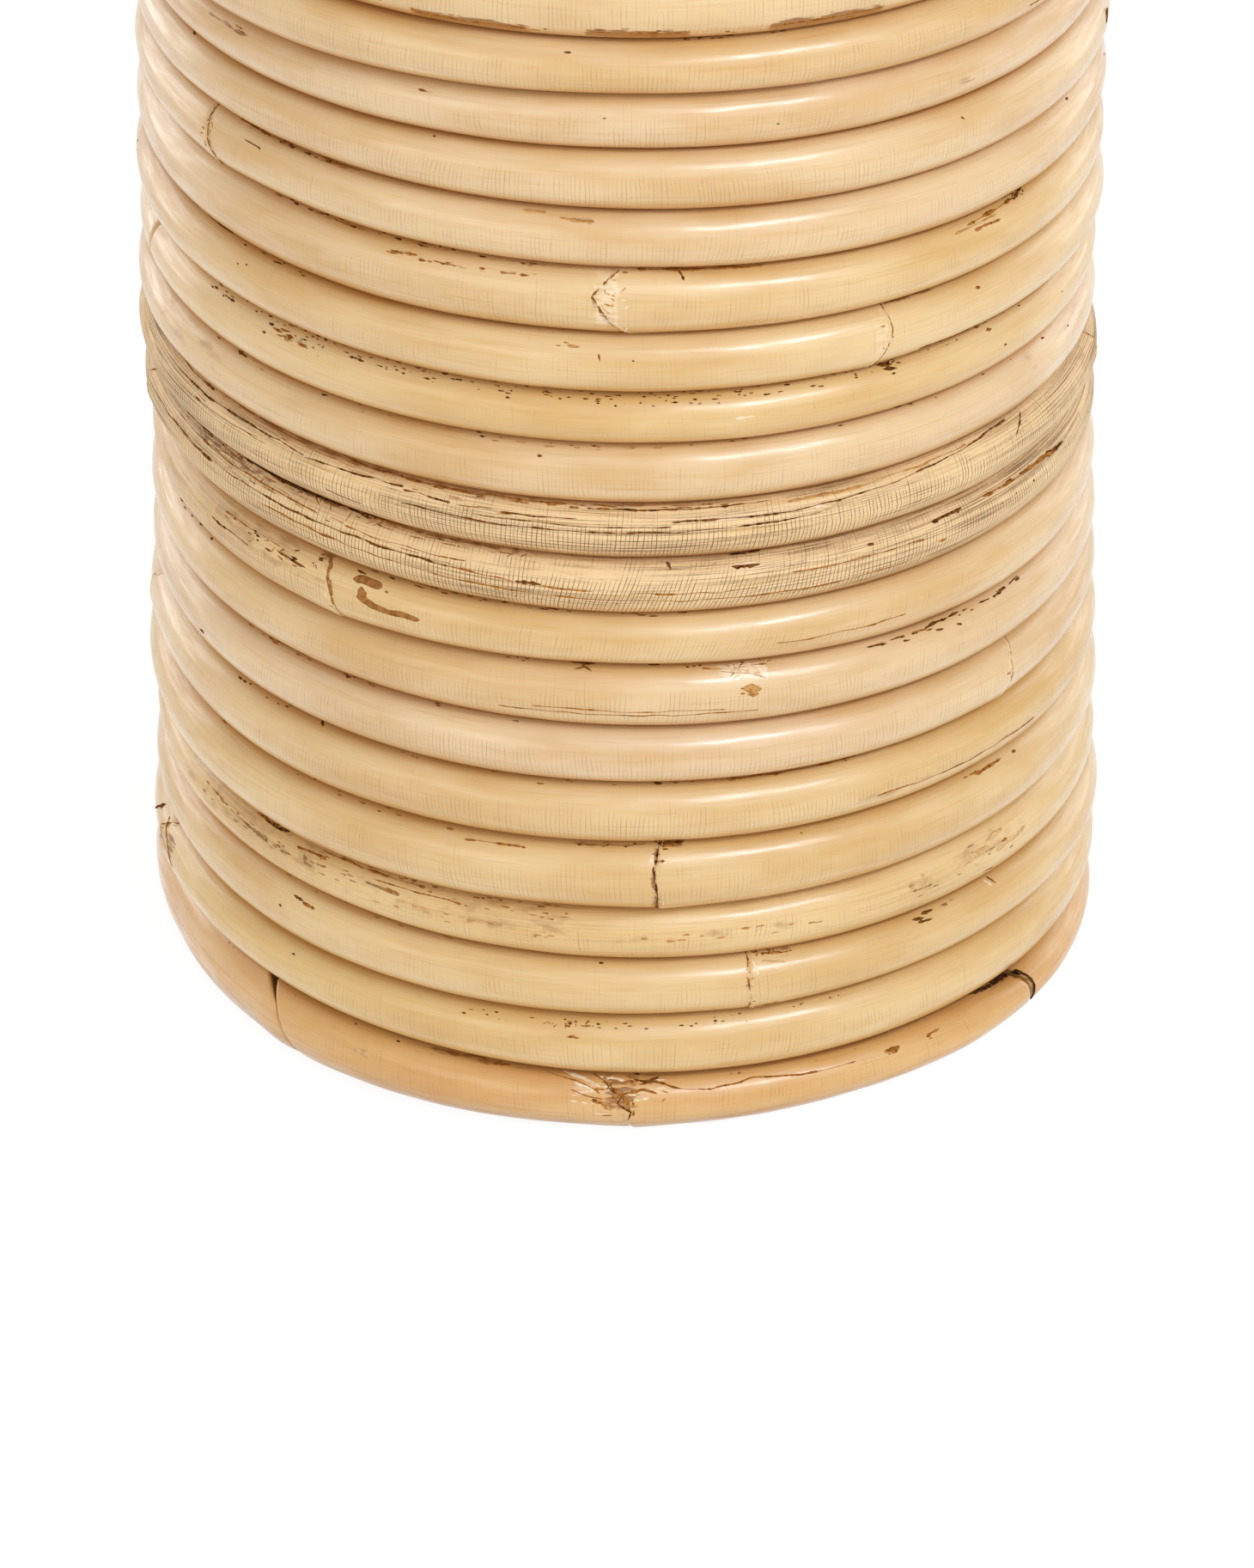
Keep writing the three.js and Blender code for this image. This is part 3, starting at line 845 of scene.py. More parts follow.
# where small specks gather: row, azimuths from and to, heights from and to, how thickly
speckled = [
    (13, -60, 32, 0.7, 1.02, 0.75), (13, 34, 55, 0.8, 1.02, 0.5), (2, -20, 18, 0.7, 0.95, 0.55),
    (4, -40, -4, 0.8, 0.98, 0.5), (12, -60, 60, 0.88, 1, 0.4), (14, -55, 10, 0.85, 1, 0.3),
    (6, -65, 40, 0.92, 1.02, 0.35), (10, -50, 60, 0.7, 1, 0.4), (9, -60, -38, 0.2, 1, 0.3),
    (15, -46, -5, 0.9, 1.02, 0.45), (8, 5, 12, 0.9, 1, 0.4), (1, -40, 50, 0.6, 1, 0.25),
]
hairlineRows = {10: 1.0, 11: 0.8, 9: 0.6, 8: 0.55, 7: 0.62, 6: 0.6, 5: 0.5, 4: 0.3, 3: 0.4, 2: 0.5,
                12: 0.42, 13: 0.2, 14: 0.3, 15: 0.45, 16: 0.5, 17: 0.6, 18: 0.5, 19: 0.55, 20: 0.5}


# row: finish, width in mm, places as (azimuth, share of the visible height), and for a raised one
# its lift in mm at the far end
lineMarks = {
    1: [
        ("bark", 0.8, (-22, 0.97), (-16, 0.99)),
        ("char", 0.9, (-3.4, 0.97), (-1.8, 0.84), (-1.2, 0.7), (0.3, 0.6), (-0.3, 0.44), (1.2, 0.3),
         (0.9, 0.14)),
        ("bark", 1.5, (-1.2, 0.74), (0.2, 0.6), (1.0, 0.42)),
        ("char", 0.9, (1.6, 0.9), (3.2, 0.85), (4.8, 0.95)),
        ("char", 0.7, (2.2, 0.8), (3.8, 0.84), (5.4, 0.8)),
        ("bark", 0.9, (0.4, 0.62), (2.6, 0.7), (4.4, 0.62)),
        ("bark", 0.45, (4, 0.86), (6, 0.74), (11, 0.65), (16, 0.78), (22, 0.68), (29, 0.65)),
        ("pale", 1.3, (-7, 0.98), (-4.4, 0.88), (-2.2, 0.74)), ("pale", 0.9, (-5.6, 0.8), (-3, 0.68)),
        ("pale", 1.0, (-2.6, 0.94), (0.6, 0.86)), ("pale", 0.8, (1.4, 0.5), (3.4, 0.56)),
        ("bark", 0.4, (-9, 0.94), (-5, 0.84), (-2.4, 0.62)), ("bark", 0.4, (-6, 0.66), (-2, 0.5)),
        # the near-black lines near azimuths 49 to 58 paint the shadow in the gap at the joint of the
        # foot, with its dirt
        ("soot", 1.5, (48.6, 1.0), (51, 0.97), (54, 0.95), (57.2, 0.95)),
        ("soot", 1.6, (53, 1.0), (57, 1.0)), ("char", 1.2, (52.5, 0.93), (56.8, 0.9)),
        ("soot", 1.0, (57.4, 0.94), (58.1, 0.66), (58.2, 0.4), (57.6, 0.12)),
        ("bark", 0.9, (56.4, 0.84), (57.8, 0.6)), ("tan", 1.6, (-2.4, 0.5), (-1, 0.34)),
        ("bark", 0.9, (-16, 0.94), (-13.4, 0.98)), ("bark", 1.7, (33.2, 0.68), (35.2, 0.68)),
        ("bark", 0.7, (39.4, 0.7), (41.4, 0.72)), ("smudge", 1.6, (-33, 0.52), (-31, 0.5)),
    ],
    2: [
        ("char", 1.1, (44, 0.0), (50, 0.01), (57, 0.0)),
        ("bark", 0.7, (-77, 0.74), (-74, 0.5), (-71, 0.2)),
    ],
    3: [
        ("bark", 1.1, (15.5, 0.03), (19, 0.03)), ("char", 1.8, (37.8, 0.86), (39.6, 0.83)),
        ("char", 1.4, (39.4, 0.9), (41.4, 0.9)), ("char", 0.9, (38.4, 0.76), (40.6, 0.76)),
        ("char", 0.8, (51.6, 0.98), (52.0, 0.78)), ("pale", 1.6, (50.8, 0.98), (51.2, 0.78)),
        ("bark", 0.7, (17, 0.95), (20, 0.9)), ("pale", 0.8, (15.8, 0.9), (16.4, 0.55)),
        ("char", 0.8, (-43, 0.72), (-41.2, 0.7)), ("bark", 1.0, (-41.4, 0.67), (-39.4, 0.66)),
        ("char", 0.7, (-67, 1.0), (-57, 0.98)), ("smudge", 0.7, (17, 0.8), (20, 0.74)),
    ],
    4: [
        ("char", 0.7, (49, 0.09), (51, 0.07)), ("smudge", 2.4, (36.6, 0.42), (39.4, 0.4)),
        ("smudge", 1.1, (38.6, 0.6), (39.4, 0.36)), ("smudge", 1.8, (44, 0.4), (47, 0.48), (50, 0.5)),
        ("smudge", 1.3, (49.5, 0.62), (53, 0.66)), ("smudge", 1.2, (51, 0.34), (57, 0.42)),
        ("grey", 0.5, (36.8, 0.34), (40, 0.33)), ("bark", 0.9, (52, 0.44), (53.2, 0.44)),
        ("bark", 1.1, (-51, 0.86), (-48.4, 0.84)), ("char", 0.9, (-49.4, 0.82), (-45.6, 0.83)),
        ("grey", 1.3, (-58, 0.62), (-56.4, 0.56)), ("grey", 0.9, (-55, 0.55), (-47, 0.5)),
        ("grey", 1.5, (-41.2, 0.62), (-40.4, 0.48)), ("bark", 0.9, (-42.6, 0.7), (-38, 0.76)),
        ("bark", 1.1, (-29, 0.62), (-27, 0.58)), ("grey", 0.9, (-32, 0.6), (-27, 0.55)),
        ("bark", 0.6, (-39, 0.86), (-24, 0.86)), ("bark", 0.6, (-31, 0.72), (-19, 0.7)),
    ],
    5: [
        ("char", 1.3, (4.2, 1.0), (5.0, 0.94), (7.4, 0.98)), ("bark", 1.5, (5, 0.92), (7, 0.95)),
        ("bark", 0.5, (-18.5, 0.8), (-11, 0.81)), ("bark", 0.6, (-5.5, 0.93), (3, 0.95)),
        ("bark", 0.9, (48, 0.83), (53, 0.84)),
    ],
    6: [
        ("char", 1.5, (-39.2, 1.0), (-38.4, 0.93)), ("char", 1.3, (4, 1.0), (5, 0.98)),
        ("bark", 0.8, (13, 0.99), (31, 1.0)), ("char", 0.8, (-68, 0.97), (-60, 0.98)),
        ("bark", 0.4, (31, 0.2), (44, 0.19), (58, 0.22)), ("bark", 0.6, (-9.9, 0.9), (-9, 0.9)),
    ],
    7: [("char", 1.7, (-60.6, 0.2), (-59.4, 0.21)), ("char", 0.5, (-52, 0.99), (-40, 1.0))],
    8: [
        ("char", 1.2, (-6, 0.99), (-3, 0.98)), ("char", 0.7, (-5.4, 0.87), (-4.2, 0.93), (-3.3, 0.85)),
        ("char", 0.8, (-4.4, 0.93), (-4, 1.05)), ("char", 0.9, (3.4, 1.0), (4.8, 1.0)),
        ("char", 0.7, (30.5, 0.85), (33, 0.86)), ("char", 0.6, (33.8, 0.87), (36, 0.87)),
        ("char", 1.0, (35.4, 0.78), (36.4, 0.76)), ("char", 1.1, (39.5, 0.86), (41, 0.9), (42.6, 0.88)),
        ("char", 0.9, (43, 0.9), (45, 0.92)), ("char", 1.1, (40.4, 0.76), (41.6, 0.74)),
        ("char", 0.8, (43.6, 0.72), (44.4, 0.68)), ("char", 0.7, (48.4, 0.87), (50.4, 0.86)),
        ("char", 0.9, (51, 0.85), (54, 0.86)), ("char", 0.6, (54.6, 0.87), (57, 0.9)),
        ("bark", 0.8, (37, 0.86), (39.2, 0.86)), ("bark", 0.3, (-14, 0.14), (16, 0.14)),
        ("bark", 0.3, (-10, 0.2), (12, 0.2)), ("pale", 1.0, (12, 0.93), (16.8, 0.72)),
        ("pale", 0.8, (13.4, 0.98), (13.0, 0.74)), ("pale", 0.8, (15.2, 0.97), (16.8, 0.64)),
        ("bark", 0.4, (9.5, 0.92), (13, 0.86), (17.6, 0.92)),
        ("bark", 0.4, (11.8, 0.84), (14.4, 0.8), (17, 0.66)), ("tan", 2.6, (14.2, 0.5), (16.4, 0.49)),
        ("tan", 2.0, (14.6, 0.4), (16, 0.4)),
    ],
    9: [
        ("brown", 2.4, (-32.9, 0.75), (-31.5, 0.79), (-28.8, 0.74)),
        ("brown", 0.8, (-28.4, 0.7), (-27.9, 0.69)),
        ("brown", 3.2, (-31.5, 0.64), (-31.2, 0.5), (-30.4, 0.4)),
        ("brown", 1.8, (-31.7, 0.46), (-29.4, 0.37), (-26.7, 0.35), (-23.4, 0.36)),
        ("char", 0.7, (-44.5, 0.6), (-39.5, 0.58)), ("char", 1.0, (-33, 0.9), (-31.5, 0.88)),
        ("bark", 0.4, (18, 0.23), (35, 0.24)), ("char", 0.5, (-57, 0.42), (-49, 0.44)),
        ("bark", 0.4, (-55, 0.7), (-44, 0.72)),
        ("brown", 1.1, (-37.4, 0.98), (-36.4, 0.78), (-35.6, 0.5), (-35.2, 0.3)),
    ],
    10: [
        # along the top of this row, under row 11, the char line and the two near-black lines paint the
        # shadow in the gap between the rows
        ("char", 1.3, (-68, 1.01), (-52, 1.0), (-36, 1.0), (-24, 1.01)),
        ("soot", 1.7, (-63, 0.98), (-56, 0.96), (-46, 0.95), (-36, 0.98), (-30, 1.0)),
        ("soot", 0.9, (-72, 0.96), (-64, 0.97)), ("char", 0.5, (-75, 0.5), (-59, 0.49)),
        ("char", 1.1, (-59, 0.49), (-56.5, 0.49)), ("char", 0.5, (-56.5, 0.5), (-31, 0.49)),
        ("char", 1.3, (-31, 0.49), (-25.5, 0.48)), ("char", 0.6, (-25.5, 0.48), (-20, 0.45)),
        ("bark", 0.5, (-20, 0.45), (-12, 0.39)), ("char", 1.1, (-12, 0.39), (-9, 0.38)),
        ("bark", 0.45, (-9, 0.38), (-3, 0.35)), ("bark", 0.4, (1, 0.34), (16, 0.29)),
        ("bark", 0.5, (-47, 0.33), (-30, 0.29), (-14, 0.23), (1, 0.2)),
        ("bark", 0.45, (1, 0.2), (16, 0.17), (36, 0.16)), ("char", 1.2, (5.5, 0.94), (5.9, 0.78)),
        ("char", 1.4, (13, 0.75), (16.5, 0.73)), ("pale", 0.8, (13.4, 0.8), (16, 0.79)),
        ("char", 1.2, (13, 0.98), (17, 1.0)), ("char", 0.9, (30, 0.7), (31, 0.68)),
        ("char", 1.0, (39.5, 0.72), (44.5, 0.73)), ("bark", 0.7, (40, 0.31), (41, 0.31)),
        ("char", 0.8, (-72, 0.8), (-64, 0.86)), ("char", 0.9, (-68, 0.9), (-59, 0.86)),
        ("bark", 0.6, (-40, 0.98), (-28, 0.97)), ("bark", 0.4, (-60, 0.7), (-38, 0.66)),
        ("bark", 0.4, (-34, 0.62), (-18, 0.6)), ("bark", 0.35, (20, 0.5), (38, 0.46)),
    ],
    11: [
        ("char", 0.55, (-66, 0.72), (-55, 0.75), (-44, 0.77)), ("char", 0.5, (-44, 0.77), (-40, 0.7)),
        ("char", 0.5, (-40, 0.7), (-26, 0.78)), ("char", 0.6, (-26, 0.72), (-20, 0.68)),
        ("char", 0.45, (-26, 0.44), (-14, 0.42), (1, 0.43), (15, 0.45), (24, 0.5)),
        ("char", 0.5, (6, 0.64), (22, 0.62), (36, 0.72), (54, 0.92)),
        ("char", 0.5, (-14, 0.65), (-5, 0.68)), ("char", 0.4, (-36, 0.22), (-31, 0.2)),
        ("bark", 0.7, (-34, 0.97), (-18, 0.94), (-6, 0.96)),
        ("char", 0.6, (-4, 0.9), (8, 0.88), (18, 0.9)), ("pale", 0.9, (23, 0.62), (25, 0.58)),
        ("char", 0.6, (57, 0.86), (54, 0.52)), ("char", 0.6, (-76, 0.9), (-58, 0.9)),
        ("char", 0.45, (-60, 0.55), (-46, 0.58)), ("char", 0.35, (-20, 0.55), (6, 0.53)),
        ("tan", 0.6, (20, 0.8), (46, 0.86)), ("tan", 0.5, (-50, 0.9), (-30, 0.86)),
    ],
    12: [
        ("char", 1.5, (-53, 0.95), (-51, 0.93)), ("bark", 0.8, (-17.4, 1.0), (-16.6, 0.98)),
        ("char", 0.8, (14.6, 1.0), (15.4, 0.99)), ("char", 0.9, (35, 1.0), (36.2, 0.99)),
        ("char", 0.9, (62.4, 0.85), (63.2, 0.83)),
    ],
    13: [
        ("char", 2.0, (32, 0.95), (34, 0.88)), ("char", 1.5, (32.6, 0.84), (34.4, 0.78)),
        ("char", 1.1, (33.2, 1.02), (34.8, 0.96)), ("bark", 1.8, (49, 0.8), (50, 0.78)),
        ("pale", 1.0, (13, 0.38), (15.5, 0.38)), ("char", 1.0, (78, 0.8), (80, 0.7)),
    ],
    14: [
        ("char", 0.7, (-69, 0.99), (-54, 1.0)), ("bark", 0.5, (-2.4, 0.62), (-2.2, 0.48)),
        ("bark", 1.3, (45.8, 0.69), (46.6, 0.67)), ("char", 0.8, (37, 0.02), (49, 0.02), (61, 0.03)),
        ("bark", 0.7, (33, 0.98), (40, 0.99)),
    ],
    15: [
        ("char", 0.8, (6.7, 1.03), (7.3, 0.78)), ("bark", 1.0, (2, 0.99), (10, 1.0), (17, 0.99)),
        ("char", 1.3, (53, 0.93), (55, 0.88)), ("bark", 0.9, (45, 0.84), (53.6, 0.9)),
        ("bark", 1.1, (45.5, 0.72), (50, 0.69)), ("tan", 0.6, (42.5, 0.78), (50, 0.8)),
        ("char", 0.8, (54, 0.86), (56.5, 0.98), 0.9),
    ],
    16: [
        ("tan", 1.1, (-11.2, 0.88), (-8.4, 0.86)), ("tan", 1.0, (-7, 0.8), (-2.8, 0.74)),
        ("bark", 0.8, (-52, 0.97), (-32, 0.99)), ("char", 0.5, (-49, 0.67), (-46, 0.66)),
    ],
    17: [("char", 1.0, (-63, 0.96), (-62, 0.93)), ("char", 0.7, (42.9, 0.7), (43.3, 0.63))],
    18: [
        ("bark", 0.9, (-23.6, 0.68), (-22.4, 0.67)), ("tan", 0.35, (42.6, 0.22), (45, 0.23)),
        ("bark", 1.3, (57.5, 0.95), (62, 0.97)),
    ],
    19: [("bark", 0.9, (53.8, 0.14), (56, 0.14))],
    20: [
        ("bark", 0.8, (-24, 0.04), (-10, 0.03)), ("bark", 0.8, (-4, 0.04), (8, 0.04)),
        ("bark", 0.9, (17, 0.04), (31, 0.05)),
    ],
}

halo = {"width": 0.7, "strength": 0.5, "finishes": ("char", "bark")}
# how pale each row is in front, from row 2 up
paleness = [
    0, 0.2, 0.25, 0, 0.2, 0.7, 0.4, 0.2, 0.4, 0.3, 0.65, 0.3, 0.3, 0.4, 0.85, 0.35, 0.8, 0.5, 0.5,
    0.6,
]
# where the cross cracks lean: row, azimuths from and to, heights from and to, slope
leaningCracks = [(9, 10, 46, -0.5, 1.5, 0.6), (10, 0, 41, 0.5, 1.5, 0.6)]

skinPaint = {
    "markFade": 1.0, "speckFade": 2.5, "leanFade": 22,  # millimetres
    # the stain at a node: how strong, how much more at a dark crease, over how many millimetres
    "nodeStain": (0.35, 0.35, 1.0),
    # the pale skin on the higher side of a node: how strong, over how long, and from where
    "nodePale": (0.4, 6, 0.5),
    # what the front picture doesn't show: azimuths it fades in between, and the top row of it
    "unseenFrom": (70, 95), "unseenRow": 20.5, "unseenSpecks": 0.3,
    # patches of stain there: how far apart, how many round, seed, from where to where, how strong
    "unseenPatches": (26, 9, 21), "unseenPatchPlaces": (0.55, 0.95), "unseenPatchDark": 0.7,
    "upperEdge": (55, 80),  # angle around the pole at which its upper edge begins
    # cross cracks show on the lower side, and a few above it on weathered skin
    "crackedFrom": (-110, -80), "crackedTo": (42, 0), "cracked": 0.95, "crackedAbove": 0.35,
    # grime and painted shade along the seams, the band above each seam narrower from just left of the
    # front round to the right, where the light falls: where the wide and the narrow band start, and
    # where they are full, and how much darker the side facing into the vase is
    "narrowFrom": (-35, -5), "shadeAndDirtAbove": (46, 86, 0.85), "narrower": (18, -4),
    "shadeAndDirtBelow": (16, 62, 0.85), "darkerInside": (120, 0.25),
    "toneWander": (0.25, 190, 31),
}


def markField(turns, angle, row, start, end, low, high, fade):
    # 1 inside a patch of the surface, 0 away from it, fading over so many millimetres
    rowHere, azimuth = rowOf(turns)
    aside = np.maximum(start - azimuth, azimuth - end) * perDegree
    around = outsideAngle(angle)
    over = np.maximum(sectionAngle(low) - around, around - sectionAngle(high)) * perAngle
    gap = np.where((aside > 0) & (over > 0), np.hypot(aside, over), np.maximum(aside, over))
    return np.where(np.abs(rowHere - row) < 0.5, np.clip(0.5 - gap / (2 * fade), 0, 1), 0)


def haloMarks():
    # a faint stain round each of the stronger marks
    halos = []
    for row, marks in lineMarks.items():
        for finish, width, *points in marks:
            if finish in halo["finishes"] and width >= halo["width"]:
                azimuths, ups = zip(*(point for point in points if isinstance(point, tuple)))
                sides = min(azimuths), max(azimuths), min(ups), max(ups)
                halos.append(("stain", row, *sides, halo["strength"]))
    return halos


def markValues(kinds):
    return np.stack([kinds["stain"], kinds["grey"], kinds["pale"]], axis=-1).reshape(-1, 3)


def paint(turns, angle):
    # the values that the material reads at each point of a pole
    look = skinPaint
    along = turns * turnLength
    wide = lines.thickAt(turns) / 2
    turn = np.radians(angle)
    row, azimuth = rowOf(turns)
    around = outsideAngle(angle)
    leaning = 0 * along
    for *patch, slope in leaningCracks:
        leaning = np.maximum(leaning, slope * markField(turns, angle, *patch, look["leanFade"]))
    upward = wide * np.sin(turn)
    space = np.stack([along + leaning * upward, wide * np.cos(turn), upward], axis=-1)
    kinds = {"stain": 0 * along, "grey": 0 * along, "pale": 0 * along}
    for kind, *patch, strength in softMarks + haloMarks():
        if row.min() < patch[0] + 0.5 and row.max() > patch[0] - 0.5:
            field = markField(turns, angle, *patch, look["markFade"])
            kinds[kind] = np.maximum(kinds[kind], strength * field)
    stained, moreStained, stainLength = look["nodeStain"]
    pale, paleLength, paleFrom = look["nodePale"]
    for node in nodes:
        gap = (turns - nodeTurns(node, angle)) * turnLength
        rise, crease = node[2:]
        beside = np.exp(-np.abs(gap) / stainLength) * (stained + moreStained * crease)
        above = pale * (gap * rise < 0) * np.exp(-np.abs(gap) / paleLength) * (np.abs(gap) > paleFrom)
        kinds["stain"] = np.maximum(kinds["stain"], beside)
        kinds["pale"] = np.maximum(kinds["pale"], above)
    unseen = smoothStep(np.abs(azimuth), *look["unseenFrom"]) + (row > look["unseenRow"])
    unseen = unseen.clip(0, 1)
    edge = smoothStep(around, *look["upperEdge"])
    specks = look["unseenSpecks"] * unseen * edge
    for *patch, amount in speckled:
        specks = np.maximum(specks, amount * markField(turns, angle, *patch, look["speckFade"]))
    patchy = smoothStep(dapple(along, angle, *look["unseenPatches"]), *look["unseenPatchPlaces"])
    patchy = unseen * patchy * edge
    kinds["stain"] = np.maximum(kinds["stain"], patchy * look["unseenPatchDark"])
    weather = weatherAt(turns, angle)
    hairRows = sorted(hairlineRows)
    rowHair = np.interp(row, hairRows, [hairlineRows[known] for known in hairRows])
    lower = smoothStep(around, *look["crackedTo"]) * smoothStep(around, *look["crackedFrom"])
    hair = rowHair * (lower * look["cracked"] + weather * (1 - lower) * look["crackedAbove"])
    # painted shade with grime at the seams, above and below each pole, narrower where the light falls,
    # and an even darkening on the side facing into the vase
    narrow = smoothStep(azimuth, *look["narrowFrom"])
    start, full, strength = look["shadeAndDirtAbove"]
    laterStart, laterFull = look["narrower"]
    dirt = smoothStep(around, start + laterStart * narrow, full + laterFull * narrow) * strength
    start, full, strength = look["shadeAndDirtBelow"]
    dirt = dirt + smoothStep(-around, start, full) * strength
    behind, strength = look["darkerInside"]
    dirt = dirt + (np.abs(fromFront(angle)) > behind) * strength
    atFront = turns + 2 - rowAtFront
    tone = np.interp(atFront, range(2, 2 + len(paleness)), paleness) + drift(along, look["toneWander"])
    return {
        "poleSpace": space.reshape(-1, 3),
        "marks": markValues(kinds),
        "state": np.stack([weather, hair, specks], axis=-1).reshape(-1, 3),
        "tone": np.clip(tone, 0, 1).ravel(),
        "dirt": dirt.ravel(),
    }


# The wall poles

poleMesh = {
    "frontStep": 1.3, "backStep": 2.2, "frontAzimuth": 100, "frontTurns": 19.5,
    "nodeStep": 0.4, "nodeReach": 4, "least": 0.2,
    "outsideAngles": range(-108, 109, 12), "insideAngles": (132, 156, 180, 204, 228),
    "endRounding": 0.8, "endDrops": (-0.7, -0.25),  # of the last two rings
}
poleAngles = np.array([*poleMesh["outsideAngles"], *poleMesh["insideAngles"]], float)


def stations(start, end):
    # places along the winding, closer together in front and at nodes
    places = [start]
    while places[-1] < end:
        azimuth = rowOf(places[-1])[1]
        inFront = abs(azimuth) < poleMesh["frontAzimuth"] and places[-1] < poleMesh["frontTurns"]
        step = poleMesh["frontStep"] if inFront else poleMesh["backStep"]
        places.append(places[-1] + step / turnLength)
    places = places[:-1] + [end]
    reach = poleMesh["nodeReach"]
    for node in nodes:
        centre = float(turnsAt(node[0], node[1][1]))
        if start < centre < end:
            extra = np.arange(-reach, reach, poleMesh["nodeStep"]) / turnLength + centre
            places += [place for place in extra if start < place < end]
    places = np.unique(np.round(places, 7))
    keep = np.concatenate([[True], np.diff(places) > poleMesh["least"] / turnLength])
    keep[-1] = True
    return places[keep]


def roundEnds(lift):
    for ring, drop in enumerate(poleMesh["endDrops"]):
        lift[[ring, -1 - ring]] += drop


def wallPole(name, material):
    start, end = lines.poleSpans[name]
    gap = winding["buttGap"] / 2 / turnLength
    rounding = poleMesh["endRounding"] / turnLength
    places = stations(start + gap + rounding, end - gap - rounding)
    places = np.concatenate([[start + gap, start + gap + rounding / 3], places,
                             [end - gap - rounding / 3, end - gap]])
    turns, angle = np.meshgrid(places, poleAngles, indexing="ij")
    lift = np.zeros_like(turns)
    roundEnds(lift)
    rings = poleSurface(turns, angle, lift)
    cuts = [0] + [int(np.searchsorted(places, start + k)) for k in range(1, math.ceil(end - start))]
    return tubePiece(pieceName(name), [(rings, cuts)], 1, paint(turns, angle), material, (name,))


cane = caneMaterial("caneSkin", caneSkin)
for poleName in lines.poleSpans:
    piece = wallPole(poleName, cane)
    print("made", piece.name, "with", len(piece.data.polygons), "faces")


# The foot ring, of four poles with slanting cuts between them

def footStations(first, last):
    places = np.arange(first, last, foot["step"] / perDegree)
    middle = footNode[1][1]
    if first < middle < last:
        extra = np.arange(-foot["nodeReach"], foot["nodeReach"], foot["nodeStep"]) / perDegree
        places = np.concatenate([places, middle + extra])
    rounding = poleMesh["endRounding"] / perDegree
    ends = [first + rounding / 3, first + rounding, last - rounding, last - rounding / 3, last]
    places = np.unique(np.concatenate([places, ends]))
    return places[np.concatenate([[True], np.diff(places) > foot["least"] / perDegree])]


def footPole(name, startCut, endCut, material):
    trim = foot["jointGap"] / 2 / perDegree
    first, last = startCut[1] + trim, endCut[1] - trim
    azimuth, angle = np.meshgrid(footStations(first, last), poleAngles, indexing="ij")
    swell = fuller(name, azimuth)
    for cut, end in ((startCut, first), (endCut, last)):
        slant = nodeAzimuth(cut, angle) - cut[1]
        away = np.abs(azimuth - end) * perDegree
        azimuth = azimuth + slant * np.exp(-(away / foot["cutFade"]) ** 2)
    lift = np.zeros_like(azimuth)
    for end in foot["ends"]:
        joint, side = end[:2]
        if side * (first + last - 2 * joint) > 0:
            lift += endLift(end, azimuth, angle, foot["endBehind"])
    roundEnds(lift)
    rings = footSurface(azimuth, angle, lift, swell)
    rings, azimuth, angle = rings[::-1], azimuth[::-1], angle[::-1]
    return tubePiece(pieceName(name), [(rings, [0])], 1, paintFoot(azimuth, angle), material, (name,))


# kind, azimuths from and to, heights from and to, strength
footMarks = [
    ("stain", -2.4, 2.2, 0.3, 1, 0.62), ("stain", 1.4, 5, 0.75, 1, 0.5),
    ("stain", -24, -14, 0.9, 1.02, 0.8), ("stain", 33, 41, 0.6, 0.72, 0.5),
    # the stain at azimuths 50 to 57 on the top of the foot paints the shadow in the gap at the joint
    # there, with its dirt
    ("stain", 50, 57, 0.88, 1.0, 0.8), ("pale", -6, -1, 0.5, 0.9, 0.5),
    ("stain", -33.4, -30.6, 0.42, 0.6, 0.45),
]
footPaint = {
    "markFade": 1.4,
    # angles around the pole from and to, how strong
    "cracked": (60, 20, 0.35), "specks": (30, 70, 0.4),
    # grime and painted shade under the row above, and painted shade darkening the underside of the foot
    "shadeAndDirtAbove": (55, 84, 0.8), "shadeAndDirtBelow": (-15, 50, 0.85),
    "tone": 0.4, "toneWander": (0.4, 70, 61), "perDegree": 1.8,
}


def paintFoot(azimuth, angle):
    values = paint(turnsAt(2, azimuth), angle)
    kinds = {"stain": 0 * azimuth, "grey": 0 * azimuth, "pale": 0 * azimuth}
    for kind, *patch, strength in footMarks:
        field = markField(turnsAt(1, azimuth), angle, 1, *patch, footPaint["markFade"])
        kinds[kind] = np.maximum(kinds[kind], strength * field)
    around = outsideAngle(angle)

    def band(key, where):
        start, end, strength = footPaint[key]
        return smoothStep(where, start, end) * strength

    hair, specks = band("cracked", around), band("specks", around)
    tone = footPaint["tone"] + drift(azimuth * footPaint["perDegree"], footPaint["toneWander"])
    values["marks"] = markValues(kinds)
    values["state"] = np.stack([0 * hair, hair, specks], axis=-1).reshape(-1, 3)
    values["tone"] = np.clip(tone, 0, 1).ravel()
    # grime and painted shade at the top of the foot, and painted shade on its underside
    values["dirt"] = (band("shadeAndDirtAbove", around) + band("shadeAndDirtBelow", -around)).ravel()
    return values


footCane = caneMaterial("footCane", {**caneSkin, **footSkin})
for poleName, startCut, endCut in foot["poles"]:
    footPole(poleName, startCut, endCut, footCane)
print("made the foot ring")


# Inside: four uprights of split cane with their nails, and the base board

